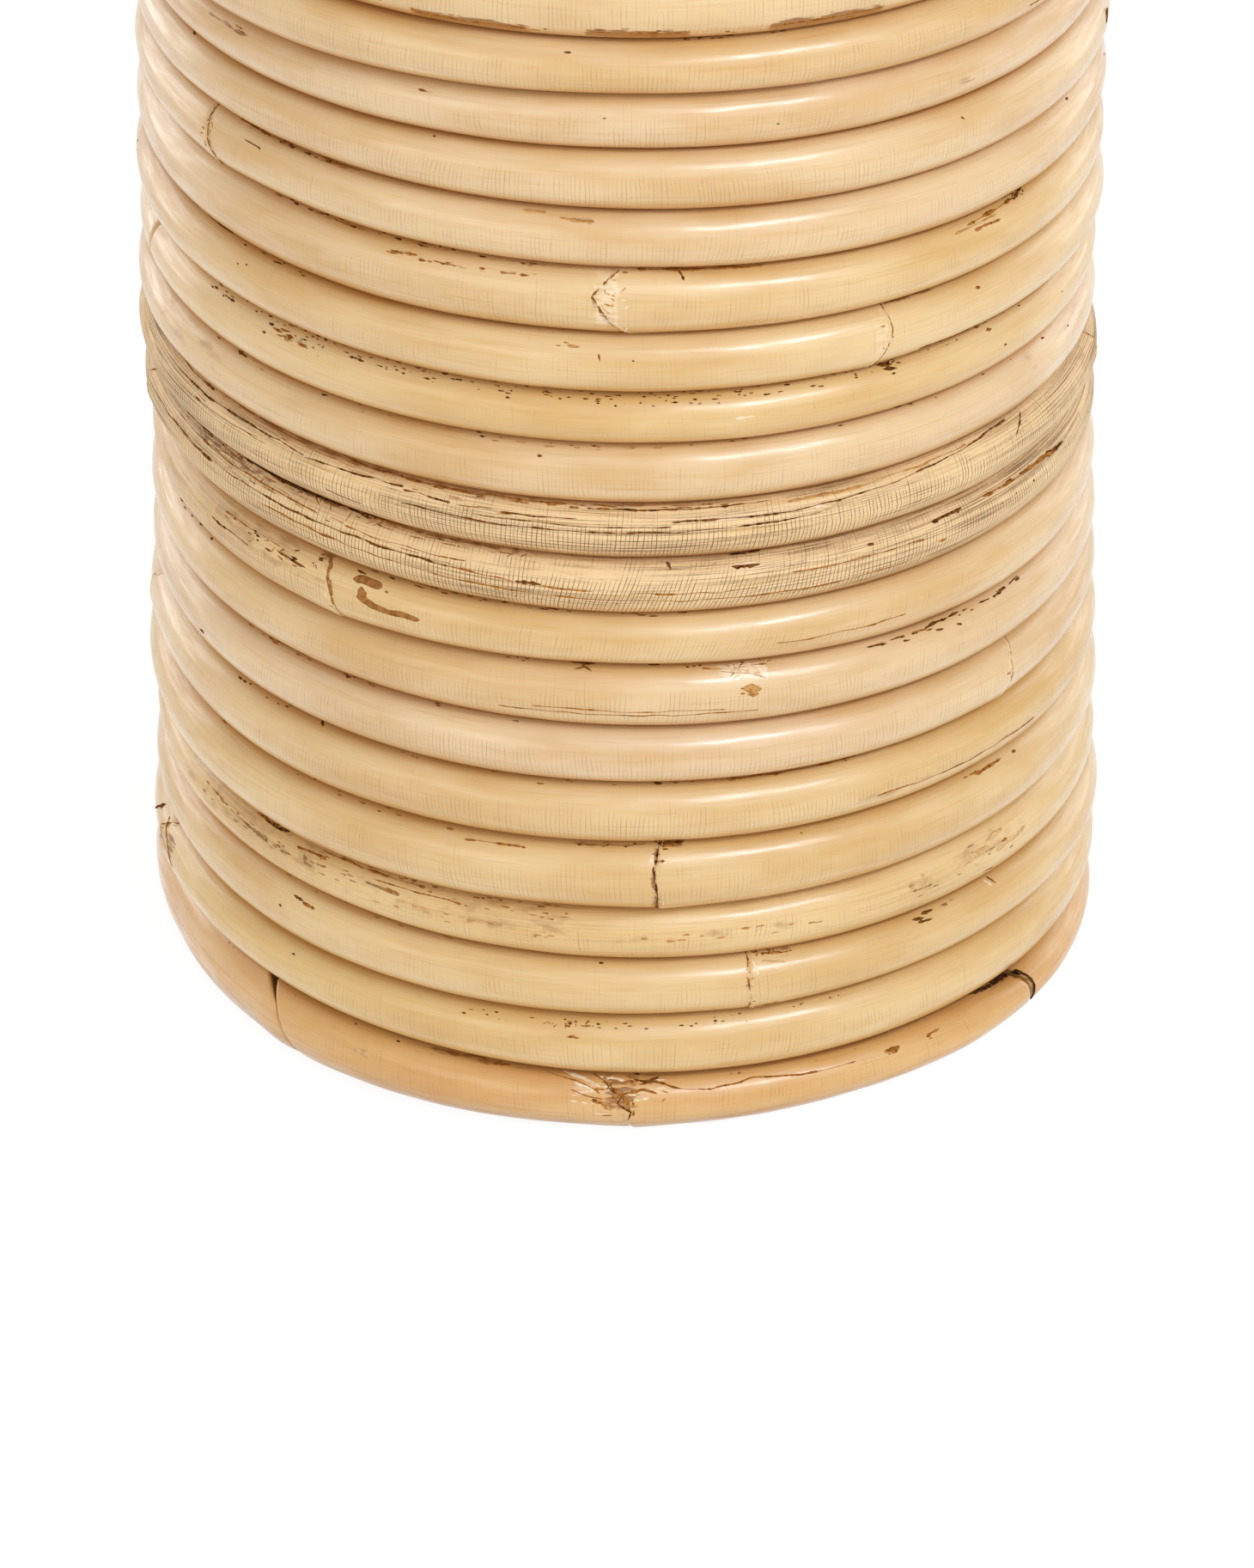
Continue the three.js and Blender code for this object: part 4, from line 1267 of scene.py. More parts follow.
upright = {
    "sides": ("front", "right", "back", "left"), "firstAzimuth": 7.5,
    "width": 12, "depth": 5, "gap": 0.45, "step": 2.5, "curveSteps": 14,
    "flat": (-0.9, 0.9, 5),  # the flat side's points, from and to in half widths
    # swellings at nodes, and how far they lie higher on each next upright
    "swell": 0.35, "nodes": (70, 205, 332), "nodeLength": 5, "nodeShift": 17,
    # unevenness: share, how far apart its turns are, seed
    "unevenDepth": (0.03, 40, 200), "unevenSide": (0.02, 55, 210),
    "endShrink": 0.12, "endReach": 0.5,
    # its skin: tone, a little of the darkening that the poles have at their seams, spread evenly,
    # weather, cross cracks, specks, and how its noises are placed and stretched
    "tone": 0.3, "dirt": 0.1, "state": (0.15, 0.2, 0.3), "noiseShift": 900, "noiseDepth": 1.5,
}
nail = {
    "count": 3, "sides": 16, "seat": 0.985,  # share of the upright's depth at which the head lies
    # along the nail from its tip to the top of the domed head: distance out from the face, radius
    "profile": [(-8, 0.1), (-6.5, 0.7), (-0.2, 0.7), (0, 1.7), (0.25, 1.65), (0.48, 1.3), (0.62, 0.75),
                (0.66, 0.2)],
}


def uprightFace(azimuth, height):
    # radius of the flat side, which lies against the winding
    return innerRadius(height) + bulge(azimuth, height) - upright["gap"]


def uprightDirections(number):
    # azimuth of an upright, and the directions outward and along the wall there
    azimuth = upright["firstAzimuth"] + 90 * number
    out = math.radians(azimuth)
    outward = np.array([math.sin(out), -math.cos(out), 0])
    return azimuth, outward, np.array([math.cos(out), math.sin(out), 0])


def uneven(height, look, number):
    share, step, seed = look
    return 1 + share * wander(height, step, seed + number)


def uprightPost(number, side, material):
    node = "upright_" + side
    azimuth, outward, along = uprightDirections(number)
    low, high = (corner[2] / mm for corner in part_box(node))
    heights = np.linspace(low, high, int((high - low) / upright["step"]))
    turn = np.linspace(0, math.pi, upright["curveSteps"])
    flat = np.linspace(*upright["flat"])
    aside = np.concatenate([np.cos(turn), flat]) * upright["width"] / 2
    inward = np.concatenate([np.sin(turn), 0 * flat]) * upright["depth"]
    height, aside = np.meshgrid(heights, aside, indexing="ij")
    depth = np.broadcast_to(inward, height.shape).copy()
    for level in upright["nodes"]:
        away = (height - level - upright["nodeShift"] * number) / upright["nodeLength"]
        depth *= 1 + upright["swell"] / upright["depth"] * np.exp(-away ** 2)
    depth *= uneven(height, upright["unevenDepth"], number)
    aside = aside * uneven(height, upright["unevenSide"], number)
    nearEnd = np.minimum(height - low, high - height) < upright["endReach"]
    shrink = 1 - upright["endShrink"] * nearEnd
    radius = uprightFace(azimuth, height) - depth * shrink
    rings = radius[..., None] * outward + (aside * shrink)[..., None] * along
    rings[..., 2] += height
    flat = np.zeros(height.size)
    shifted = height + upright["noiseShift"] * number
    space = np.stack([shifted, aside, depth * upright["noiseDepth"]], axis=-1)
    values = {
        "poleSpace": space.reshape(-1, 3), "marks": np.zeros((height.size, 3)),
        "tone": flat + upright["tone"], "dirt": flat + upright["dirt"],
        "state": np.stack([flat + amount for amount in upright["state"]], axis=-1),
    }
    return tubePiece(pieceName(node), [(rings, [0])], 1, values, material, (node,))


def uprightNail(number, side, index, material):
    node = "upright_nail_%s_%d" % (side, index)
    azimuth, outward, along = uprightDirections(number)
    height = sum(corner[2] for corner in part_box(node)) / 2 / mm
    face = uprightFace(azimuth, height) - upright["depth"] * nail["seat"]
    turn = np.arange(nail["sides"]) / nail["sides"] * 2 * math.pi
    rings = []
    for distance, radius in nail["profile"]:
        circle = np.cos(turn)[:, None] * along * radius
        circle = circle + np.sin(turn)[:, None] * np.array([0, 0, radius])
        rings.append(circle + outward * (face - distance) + np.array([0, 0, height]))
    rings = np.array(rings)[:, ::-1]
    return tubePiece(pieceName(node), [(rings, [0])], 1, {}, material, (node,))


board = {
    "radius": 89.1, "underside": 4.5, "thickness": 6, "edge": 0.35, "sides": 160,
    "innerRadii": (0.5, 12, 24, 36, 48, 60, 72, 82),
    "figure": ((14, 160, 160), 4), "pores": ((90, 1700, 1700), 2),
    "face": (0.35, 0.65), "faceLight": tint(206, 172, 126), "faceDark": tint(186, 148, 100),
    "poreLines": (0.55, 0.75, 0.5), "poreColour": tint(150, 110, 68),
    # the plies that show at the edge: thickness, sharpness, how steep the edge is, colour
    "ply": 1.2, "plyEdge": (0.2, 0.3), "plySteep": (0.3, 0.6), "plyDark": 0.5,
    "plyColour": tint(128, 88, 50),
    "roughness": 0.62, "roughPores": 0.2, "bumpDepth": 0.08, "bumpStrength": 0.6,
}


def baseBoard(material):
    low, high = board["underside"], board["underside"] + board["thickness"]
    rim, edge = board["radius"], board["edge"]
    profile = [(radius, low) for radius in board["innerRadii"]]
    profile += [(rim - edge, low), (rim, low + edge), (rim, (low + high) / 2)]
    profile += [(rim, high - edge), (rim - edge, high)]
    profile += [(radius, high) for radius in reversed(board["innerRadii"])]
    turn = np.arange(board["sides"]) / board["sides"] * 360
    rings = np.array([placed(turn, np.full_like(turn, radius), height) for radius, height in profile])
    return tubePiece("baseBoard", [(rings, [0])], 1, {}, material, ("base_board",))


def plyMaterial():
    material, principled, start = newMaterial("birchPly", {"Specular IOR Level": 0.3})
    place = start.add("TexCoord", {}, {}, "Object")
    figure, pores = noise(place, *board["figure"]), noise(place, *board["pores"])
    level = place.parts()[2] / (board["ply"] * mm) - board["underside"] / board["ply"]
    ply = between(abs(level.math("PINGPONG", level, 1) - 0.5), *board["plyEdge"])
    colour = mix(between(figure, *board["face"]), board["faceLight"], board["faceDark"])
    colour = mix(layer(pores, board["poreLines"]), colour, board["poreColour"])
    steep = abs(start.add("NewGeometry", {}, {}, "Normal").parts()[2])
    edge = (1 - between(steep, *board["plySteep"])) * ply
    colour = mix(edge * board["plyDark"], colour, board["plyColour"])
    feed(principled, colour=colour, roughness=board["roughness"] + (pores - 0.5) * board["roughPores"],
         normal=bump(pores, board["bumpDepth"], board["bumpStrength"]))
    return material


steelLook = {
    "grain": ((700, 700, 700), 3), "tarnished": (0.4, 0.7),
    "light": tint(176, 172, 166), "dark": tint(128, 118, 106),
    "roughness": 0.32, "roughAround": 0.4, "roughBy": 0.5, "bumpDepth": 0.02, "bumpStrength": 0.5,
}


def steelMaterial(look):
    material, principled, start = newMaterial("nailSteel", {"Metallic": 1})
    tarnish = noise(start.add("TexCoord", {}, {}, "Object"), *look["grain"])
    colour = mix(between(tarnish, *look["tarnished"]), look["light"], look["dark"])
    rough = look["roughness"] + (tarnish - look["roughAround"]) * look["roughBy"]
    feed(principled, colour=colour, roughness=rough,
         normal=bump(tarnish, look["bumpDepth"], look["bumpStrength"]))
    return material


splitCane = caneMaterial("splitCane", {**caneSkin, **splitSkin})
steel = steelMaterial(steelLook)
for number, side in enumerate(upright["sides"]):
    uprightPost(number, side, splitCane)
    for index in range(1, nail["count"] + 1):
        uprightNail(number, side, index, steel)
baseBoard(plyMaterial())
for name, node in frame["nodes"].items():
    if name.startswith("base_pin"):
        node.data.materials.clear()
        node.data.materials.append(steel)
print("made the uprights, their nails and the board")


# Crisp marks: slivers of bark, char and split skin that lie in the surface of the poles, and near-black
# ones that paint the shadow in gaps

finishes = {
    "char": (tint(128, 78, 32), tint(70, 38, 12), 0.85),
    "bark": (tint(170, 112, 50), tint(126, 74, 26), 0.8),
    "brown": (tint(164, 112, 62), tint(134, 86, 42), 0.7),
    "tan": (tint(192, 144, 86), tint(166, 116, 60), 0.6),
    "pale": (tint(236, 214, 180), tint(214, 182, 138), 0.45),
    "grey": (tint(166, 130, 88), tint(134, 100, 62), 0.55),
    "smudge": (tint(208, 172, 122), tint(190, 152, 104), 0.45),
    # near-black for painted shadow in gaps: under row 11, and with dirt at the joint of the foot near
    # azimuth 57
    "soot": (tint(92, 58, 28), tint(48, 28, 12), 0.9),
}
sliver = {
    "step": 0.6, "fewest": 5, "longest": 9,
    # across it: places in half widths and how high they lie
    "section": ((-1, -0.06), (-0.45, 0.05), (0.45, 0.05), (1, -0.06), (0, -0.35)),
    "thinner": 0.4,  # share of the section's height that goes where it tapers
    # how far it sways, from what length on fully, and how far apart the turns of it are
    "sway": 0.22, "swayLength": 6, "swayAlong": 2.6, "swayAround": 3.4,
    "taper": 1.6, "taperWidth": 0.6, "taperLeast": 0.02,
    "ragged": {"brown": 0.12, "soot": 0.4, "smudge": 0.45}, "raggedElse": 0.6,
    # long ones come and go: least width, more width, how far apart
    "broken": (0.35, 1.2, 3.6), "liftPower": 1.5,
    # seeds made from a sliver's number: after how many they repeat, and the first
    "swayAlongSeeds": (900, 60), "swayAroundSeeds": (800, 90), "brokenSeeds": (700, 30),
}
sliverSkin = {
    "grain": ((900, 900, 900), 3), "mottled": (0.38, 0.66), "roughBy": 0.3,
    "bumpDepth": 0.05, "bumpStrength": 0.7,
}

# splinters that stand away from the skin: row, finish, width, lift at the end, then the places
splinters = [
    (10, "bark", 0.6, 1.0, (49, 0.72), (57, 0.69), (63, 0.66)),
    (10, "char", 1.3, 1.5, (62, 0.66), (64, 0.65), (65.8, 0.65)),
    (17, "char", 1.2, 0.4, (80, 0.3), (81.5, 0.5)), (2, "char", 1.3, 0.9, (-80, 0.72), (-81, 0.5)),
]

# row: places of single dots and their size in mm
dotMarks = {
    1: [(-28, 0.9, 1.0), (2, 0.98, 1.6), (-3, 0.5, 1.3)],
    2: [(-15, 0.84, 1.0), (-43, 0.67, 1.0), (-6, 0.8, 1.1), (-4, 0.77, 0.9), (-2.6, 0.82, 1.0)],
    3: [(-2.3, 0.92, 1.2), (-44.5, 0.42, 1.0)],
    5: [(-30, 0.9, 0.8), (22, 0.88, 0.7)],
    8: [(9.5, 0.97, 0.8), (8, 0.95, 0.7), (14.6, 0.97, 0.7)],
    10: [(48.7, 0.73, 1.0), (51, 0.43, 0.7), (54, 0.44, 0.7), (58, 0.43, 0.8), (14.8, 0.98, 1.2)],
    12: [(-9.3, 0.69, 1.2), (69, 0.62, 1.0)],
    13: [
        (-46, 0.59, 1.2), (-32.5, 0.8, 1.1), (-26, 0.78, 1.0), (-13, 0.7, 1.0), (-2.5, 0.74, 0.9),
        (-0.5, 0.7, 0.8), (51.3, 0.33, 1.0), (65.5, 0.5, 1.0),
    ],
    14: [(-50, 0.6, 0.8), (-48.6, 0.66, 0.8), (1.5, 0.5, 0.7)],
    16: [(67.6, 0.85, 1.5)],
    17: [(-22, 0.91, 0.9)],
    18: [(-1.7, 0.48, 0.7), (18, 0.26, 0.7)],
    19: [(-5.8, 0.72, 1.6)],
}

# dashes scattered along a band: row, finish, azimuths from and to, heights from and to, how many,
# how long and how wide
dashBands = [
    (20, "bark", -40, 44, 0.0, 0.1, 16, 1.6, 0.5), (18, "bark", -56.5, -48.5, 0.6, 0.72, 5, 2, 0.5),
    (16, "char", -52, -32, 0.94, 1.01, 8, 1.6, 0.7), (15, "char", -46, -5, 0.95, 1.01, 22, 1.4, 0.6),
    (15, "bark", -29, -9.5, 0.71, 0.77, 14, 2.2, 0.6), (14, "char", -60, -40, 0.93, 1.0, 9, 1.2, 0.6),
    (14, "tan", -7, -4.5, 0.68, 0.8, 6, 1.6, 0.7), (13, "char", -59, 31, 0.76, 0.99, 120, 1.1, 0.6),
    (13, "char", 34, 60, 0.86, 1.0, 14, 1.0, 0.6), (13, "bark", -45, -37, 0.6, 0.8, 8, 2.2, 0.8),
    (12, "char", -60, 60, 0.9, 1.0, 18, 0.9, 0.5), (11, "bark", -34, 18, 0.86, 0.98, 22, 2.4, 0.6),
    (10, "char", -68, -59, 0.82, 0.9, 6, 2, 0.8), (10, "char", 36, 60, 0.68, 0.78, 9, 1.8, 0.6),
    (10, "bark", -39, 36, 0.08, 0.22, 60, 0.35, 0.3), (9, "char", -57, -40, 0.5, 0.75, 10, 1.6, 0.5),
    (8, "char", -76.5, -60, 0.84, 0.91, 9, 1.6, 0.6), (8, "char", -20, 14, 0.94, 1.0, 8, 0.9, 0.5),
    (8, "char", 30, 57, 0.82, 0.9, 16, 1.4, 0.6), (8, "bark", 14, 16.5, 0.38, 0.54, 4, 1.2, 0.8),
    (7, "char", -40, -8, 0.94, 1.0, 8, 1.2, 0.5), (6, "bark", -30, 30, 0.94, 1.0, 12, 1.2, 0.5),
    (6, "char", -66, -44, 0.9, 1.0, 8, 1.2, 0.6), (5, "char", -5, 3, 0.9, 0.98, 6, 1.2, 0.5),
    (5, "bark", 46, 56, 0.8, 0.88, 6, 1.6, 0.6), (5, "bark", -60, -20, 0.92, 1.0, 10, 1.4, 0.5),
    (4, "char", -50, -44, 0.82, 0.9, 9, 1.4, 0.7), (4, "bark", -36, -4, 0.86, 0.93, 22, 1.3, 0.5),
    (4, "grey", -62, -30, 0.4, 0.62, 26, 1.6, 0.5), (4, "bark", -40, -6, 0.55, 0.8, 16, 1.6, 0.4),
    (4, "tan", -30, 24, 0.26, 0.44, 30, 1.5, 0.5), (9, "char", -34, 10, 0.94, 1.01, 22, 1.6, 0.5),
    (19, "char", 5, 20, 0.98, 1.02, 9, 1.2, 0.4), (18, "char", -12, 10, 0.98, 1.02, 10, 1.2, 0.4),
    (12, "tan", -55, 10, 0.86, 0.97, 16, 1.8, 0.5), (7, "bark", -62, -30, 0.92, 1.0, 14, 1.8, 0.45),
    (3, "bark", -64, -20, 0.94, 1.01, 14, 1.4, 0.4), (10, "char", -60, -10, 0.84, 1.0, 24, 2.0, 0.35),
    (10, "bark", -66, -20, 0.5, 0.95, 18, 3.4, 0.3), (11, "bark", -64, -10, 0.6, 1.0, 18, 3.0, 0.3),
    (4, "grey", 36, 57, 0.2, 0.7, 9, 1.4, 0.6), (4, "grey", -49.5, -39.5, 0.46, 0.54, 8, 2, 0.8),
    (3, "bark", 17, 21, 0.9, 0.98, 6, 1.4, 0.6), (3, "grey", 42, 46, 0.86, 0.92, 3, 2, 0.5),
    (2, "char", -20, 16, 0.72, 0.88, 20, 0.8, 0.45), (2, "bark", -7.5, -2.5, 0.7, 0.84, 6, 1.0, 0.5),
    (2, "bark", -6, -3, 0.54, 0.58, 3, 1.4, 0.5), (2, "char", 21, 29, 0.82, 0.9, 6, 0.8, 0.5),
    (1, "bark", -3, 2, 0.2, 0.98, 6, 1.6, 0.7), (1, "bark", 33, 35, 0.6, 0.74, 4, 1.2, 0.8),
    (1, "bark", 39.5, 41, 0.62, 0.7, 3, 1.0, 0.6), (1, "pale", -8, 6, 0.2, 0.9, 10, 2.2, 0.6),
]
# short lines in every direction: row, finish, azimuth and height, spread of both, how many, how long
# and how wide
tangles = [
    (1, "bark", -0.8, 0.7, 0.9, 0.1, 6, 1.6, 0.7), (1, "bark", 0.6, 0.4, 0.6, 0.12, 6, 1.5, 0.7),
    (1, "tan", 1.2, 0.5, 1.6, 0.14, 7, 1.8, 0.6), (5, "char", 5.8, 0.97, 1.0, 0.03, 7, 1.6, 0.7),
    (3, "bark", 18.2, 0.95, 1.2, 0.03, 8, 1.6, 0.6), (8, "pale", 14.6, 0.84, 1.6, 0.08, 9, 1.8, 0.4),
    (8, "bark", 14.2, 0.9, 1.8, 0.06, 8, 1.6, 0.3), (15, "pale", -1.2, 0.5, 1.0, 0.26, 12, 1.6, 0.5),
    (15, "tan", -1.6, 0.4, 0.9, 0.2, 8, 1.6, 0.4), (9, "char", -38.2, 0.8, 0.5, 0.12, 7, 1.4, 0.5),
    (9, "bark", -44, 0.62, 3.5, 0.06, 10, 1.8, 0.5), (13, "char", 33.2, 0.9, 0.9, 0.07, 9, 1.5, 0.7),
    (2, "bark", -5, 0.77, 1.8, 0.05, 9, 1.0, 0.5), (16, "bark", -55.3, 0.6, 0.5, 0.25, 8, 1.2, 0.35),
    (15, "char", 54.5, 0.92, 1.2, 0.06, 7, 1.6, 0.6), (10, "char", -63, 0.88, 3.5, 0.05, 9, 2.0, 0.6),
    (10, "bark", -30, 0.9, 12, 0.07, 20, 2.6, 0.4),
]
# where the front picture says nothing: groups of dashes, cracks along the pole, and dots
seededMarks = {
    "seed": 83, "topRow": 20.5, "clearAzimuth": 85, "from": 1.2, "to": 0.8,
    "clusters": 150, "reach": (0.2, 1, 9), "heights": (0.97, 0.93, 0.86, 0.74, 0.5, 0.1),
    "finishes": ("char", "char", "bark", "bark", "tan"), "dashes": (3, 13),
    "dashLength": (0.25, 1.0), "dashWidth": (0.35, 0.9), "dashSpread": 0.03, "highest": 1.02,
    "cracks": 60, "crackHeights": (0.1, 0.95), "crackLength": (3, 11), "crackWidth": (0.3, 0.5),
    "crackPlaces": (-1, -0.4, 0.2, 1), "crackSway": (-0.03, 0.03),
    "dots": 150, "dotHeights": (0.2, 1), "dotSize": (0.5, 1.4),
}
nodeMarks = {
    "heights": (-0.03, 1.03, 9), "parts": ((0, 4), (3, 6), (5, 9)),
    # the crease: least width, more where it is dark, how much it varies, and from where it is charred
    "crease": (0.2, 0.62), "creaseVaries": (0.7, 1.3), "charred": 0.8,
    "lip": (0.12, 0.12), "lipVaries": (0.5, 1.2), "lipAside": 0.6,
    "slivers": (2, 2), "sliverHeights": (0.1, 0.95), "sliverAside": (0.1, 0.9),
    "sliverFinishes": ("pale", "tan", "tan", "bark"), "sliverWidth": (0.3, 0.7),
    "sliverLength": (0.3, 0.8),
}
# dashes and tangles: how much each one's length and width vary
dashVaries = {"length": (0.5, 1.5), "width": (0.6, 1.4), "wider": 1.1}
tangleVaries = {"length": (0.5, 1.2), "width": (0.6, 1.2)}
# about how many millimetres a degree of azimuth and the whole height of a row are, and a dot's reach
markScale = {"azimuth": 1.8, "height": 14, "dot": 4}


def sliverMaterial(name, light, dark, roughness):
    material, principled, start = newMaterial(name, {"Specular IOR Level": 0.02})
    mottle = noise(start.add("TexCoord", {}, {}, "Object"), *sliverSkin["grain"])
    colour = mix(between(mottle, *sliverSkin["mottled"]), light, dark)
    feed(principled, colour=colour, roughness=roughness + (mottle - 0.5) * sliverSkin["roughBy"],
         normal=bump(mottle, sliverSkin["bumpDepth"], sliverSkin["bumpStrength"]))
    return material


def sliverWander(at, apart, key, seed):
    repeats, first = sliver[key]
    return wander(at, apart, seed % repeats + first)


def sliverLines(row, finish, points, width, lift, seed):
    # rows, azimuths, angles and lifts of a thin lens-shaped sliver that follows points on a row
    azimuths, ups = zip(*points)
    azimuths, angles = np.array(azimuths, float), np.array([sectionAngle(up) for up in ups])
    steps = np.hypot(np.diff(azimuths) * perDegree, np.diff(angles) * perAngle)
    places = np.concatenate([[0], np.cumsum(steps)])
    length = places[-1]
    count = max(sliver["fewest"], int(length / sliver["step"]) + 2)
    at = np.linspace(0, length, count)
    random = np.random.RandomState(seed)
    sway = sliver["sway"] * min(length / sliver["swayLength"], 1)
    azimuth = np.interp(at, places, azimuths)
    swayed = sliverWander(at, sliver["swayAlong"], "swayAlongSeeds", seed)
    azimuth = azimuth + sway / perDegree * swayed
    angle = np.interp(at, places, angles)
    swayed = sliverWander(at, sliver["swayAround"], "swayAroundSeeds", seed)
    angle = angle + sway / perAngle * swayed
    run, climb = np.gradient(azimuth) * perDegree, np.gradient(angle) * perAngle
    long = np.hypot(run, climb) + 1e-9
    share = np.linspace(0, 1, count)
    taper = np.minimum(share, 1 - share) * length / max(width, sliver["taperWidth"]) * sliver["taper"]
    taper = np.sqrt(np.clip(taper, sliver["taperLeast"], 1))
    rough = sliver["ragged"].get(finish, sliver["raggedElse"])
    ragged = 1 - rough * random.uniform(0, 1, count)
    if length > sliver["longest"] and finish not in sliver["ragged"]:
        least, more, apart = sliver["broken"]
        whole = smoothStep(sliverWander(at, apart, "brokenSeeds", seed), -0.5, 0.5)
        ragged = ragged * (least + more * whole)
    raised = lift * share ** sliver["liftPower"]
    aside, around, lifts = [], [], []
    for across, height in sliver["section"]:
        side = across * width / 2 * taper * ragged
        aside.append(azimuth - side * climb / long / perDegree)
        around.append(angle + side * run / long / perAngle)
        lifts.append(height * (1 - sliver["thinner"] + sliver["thinner"] * taper) + raised)
    rows = np.full((count, len(aside)), float(row))
    return rows, np.array(aside).T, np.array(around).T, np.array(lifts).T


def sliverTubes(slivers):
    # rings of many slivers, all worked out together
    joined = [np.concatenate(parts) for parts in zip(*slivers)]
    rings = surfaces(*joined)
    return np.split(rings, np.cumsum([len(part[0]) for part in slivers])[:-1])


class Slivers:
    # the slivers of each finish, laid one after another from one row of random numbers
    def __init__(self):
        self.laid = {finish: [] for finish in finishes}
        self.seed = 0
        self.random = np.random.RandomState(seededMarks["seed"])

    def lay(self, row, finish, width, points, lift=0):
        self.seed += 1
        self.laid[finish].append(sliverLines(row, finish, points, width, lift, self.seed))

    def dash(self, row, finish, width, azimuth, up, reach):
        self.lay(row, finish, width, [(azimuth - reach, up), (azimuth + reach, up)])

    def layLines(self):
        for row, marks in lineMarks.items():
            for finish, width, *points in marks:
                lift = points.pop() if not isinstance(points[-1], tuple) else 0
                self.lay(row, finish, width, points, lift)

    def layNodes(self):
        random, look = self.random, nodeMarks
        ups = np.linspace(*look["heights"])
        for row, bend, rise, crease in nodes:
            ring = [(float(nodeAzimuth(bend, sectionAngle(up))), up) for up in ups]
            side = -np.sign(rise)
            least, more = look["crease"]
            lipLeast, lipMore = look["lip"]
            for first, last in look["parts"]:
                part = ring[first:last]
                width = (least + more * crease) * random.uniform(*look["creaseVaries"])
                self.lay(row, "char" if crease > look["charred"] else "bark", width, part)
                lip = [(azimuth - side * look["lipAside"], up) for azimuth, up in part]
                width = (lipLeast + lipMore * crease) * random.uniform(*look["lipVaries"])
                self.lay(row, "pale", width, lip)
            fewest, extra = look["slivers"]
            for _ in range(int(fewest + extra * crease)):
                up = random.uniform(*look["sliverHeights"])
                azimuth = float(nodeAzimuth(bend, sectionAngle(up)))
                azimuth = azimuth - side * random.uniform(*look["sliverAside"])
                finish = random.choice(look["sliverFinishes"])
                width = random.uniform(*look["sliverWidth"])
                end = azimuth - side * random.uniform(*look["sliverLength"])
                self.lay(row, finish, width, [(azimuth, up), (end, up)])

    def laySplinters(self):
        for row, finish, width, lift, *points in splinters:
            self.lay(row, finish, width, points, lift)

    def layDots(self):
        for row, dots in dotMarks.items():
            for azimuth, up, size in dots:
                self.dash(row, "char", size, azimuth, up, size / markScale["dot"])

    def layDashes(self):
        random = self.random
        for row, finish, start, end, low, high, count, length, width in dashBands:
            for _ in range(count):
                azimuth, up = random.uniform(start, end), random.uniform(low, high)
                reach = random.uniform(*dashVaries["length"]) * length / markScale["azimuth"] / 2
                wide = dashVaries["wider"] * width * random.uniform(*dashVaries["width"])
                self.dash(row, finish, wide, azimuth, up, reach)

    def layTangles(self):
        random = self.random
        for row, finish, azimuth, up, wide, tall, count, length, width in tangles:
            for _ in range(count):
                middle = np.array([azimuth, up]) + random.normal(size=2) * (wide, tall)
                turn = random.uniform(-math.pi, math.pi)
                reach = np.array([math.cos(turn), math.sin(turn)])
                reach = reach / (markScale["azimuth"], markScale["height"])
                reach = reach * length / 2 * random.uniform(*tangleVaries["length"])
                wideness = width * random.uniform(*tangleVaries["width"])
                self.lay(row, finish, wideness, [tuple(middle - reach), tuple(middle + reach)])

    def somewhere(self):
        # a place that the front picture doesn't show
        look = seededMarks
        while True:
            row, azimuth = rowOf(self.random.uniform(look["from"], lines.total - look["to"]))
            if abs(azimuth) > look["clearAzimuth"] or round(row) > look["topRow"]:
                return round(row), azimuth

    def laySeeded(self):
        random, look = self.random, seededMarks
        for _ in range(look["clusters"]):
            row, azimuth = self.somewhere()
            middle = random.choice(look["heights"])
            finish = random.choice(look["finishes"])
            low, high, reach = look["reach"]
            long = random.uniform(low, high) * reach
            for _ in range(random.randint(*look["dashes"])):
                at = azimuth + random.normal() * long / 2
                size = random.uniform(*look["dashLength"])
                up = min(middle + random.normal() * look["dashSpread"], look["highest"])
                self.dash(row, finish, random.uniform(*look["dashWidth"]), at, up, size)
        for _ in range(look["cracks"]):
            row, azimuth = self.somewhere()
            up, long = random.uniform(*look["crackHeights"]), random.uniform(*look["crackLength"])
            path = [(azimuth + long * k, up + random.uniform(*look["crackSway"]))
                    for k in look["crackPlaces"]]
            self.lay(row, "bark", random.uniform(*look["crackWidth"]), path)
        for _ in range(look["dots"]):
            row, azimuth = self.somewhere()
            up, size = random.uniform(*look["dotHeights"]), random.uniform(*look["dotSize"])
            self.dash(row, "char", size, azimuth, up, size / markScale["dot"])


slivers = Slivers()
slivers.layLines()
slivers.layNodes()
slivers.laySplinters()
slivers.layDots()
slivers.layDashes()
slivers.layTangles()
slivers.laySeeded()
for finish, laid in slivers.laid.items():
    material = sliverMaterial(finish + "Skin", *finishes[finish])
    columns = math.ceil(math.sqrt(len(laid)))
    tubes = [(tube, [0]) for tube in sliverTubes(laid)]
    tubePiece(finish + "Slivers", tubes, columns, {}, material)
    print("laid", len(laid), finish, "slivers")


# Floor, light and camera

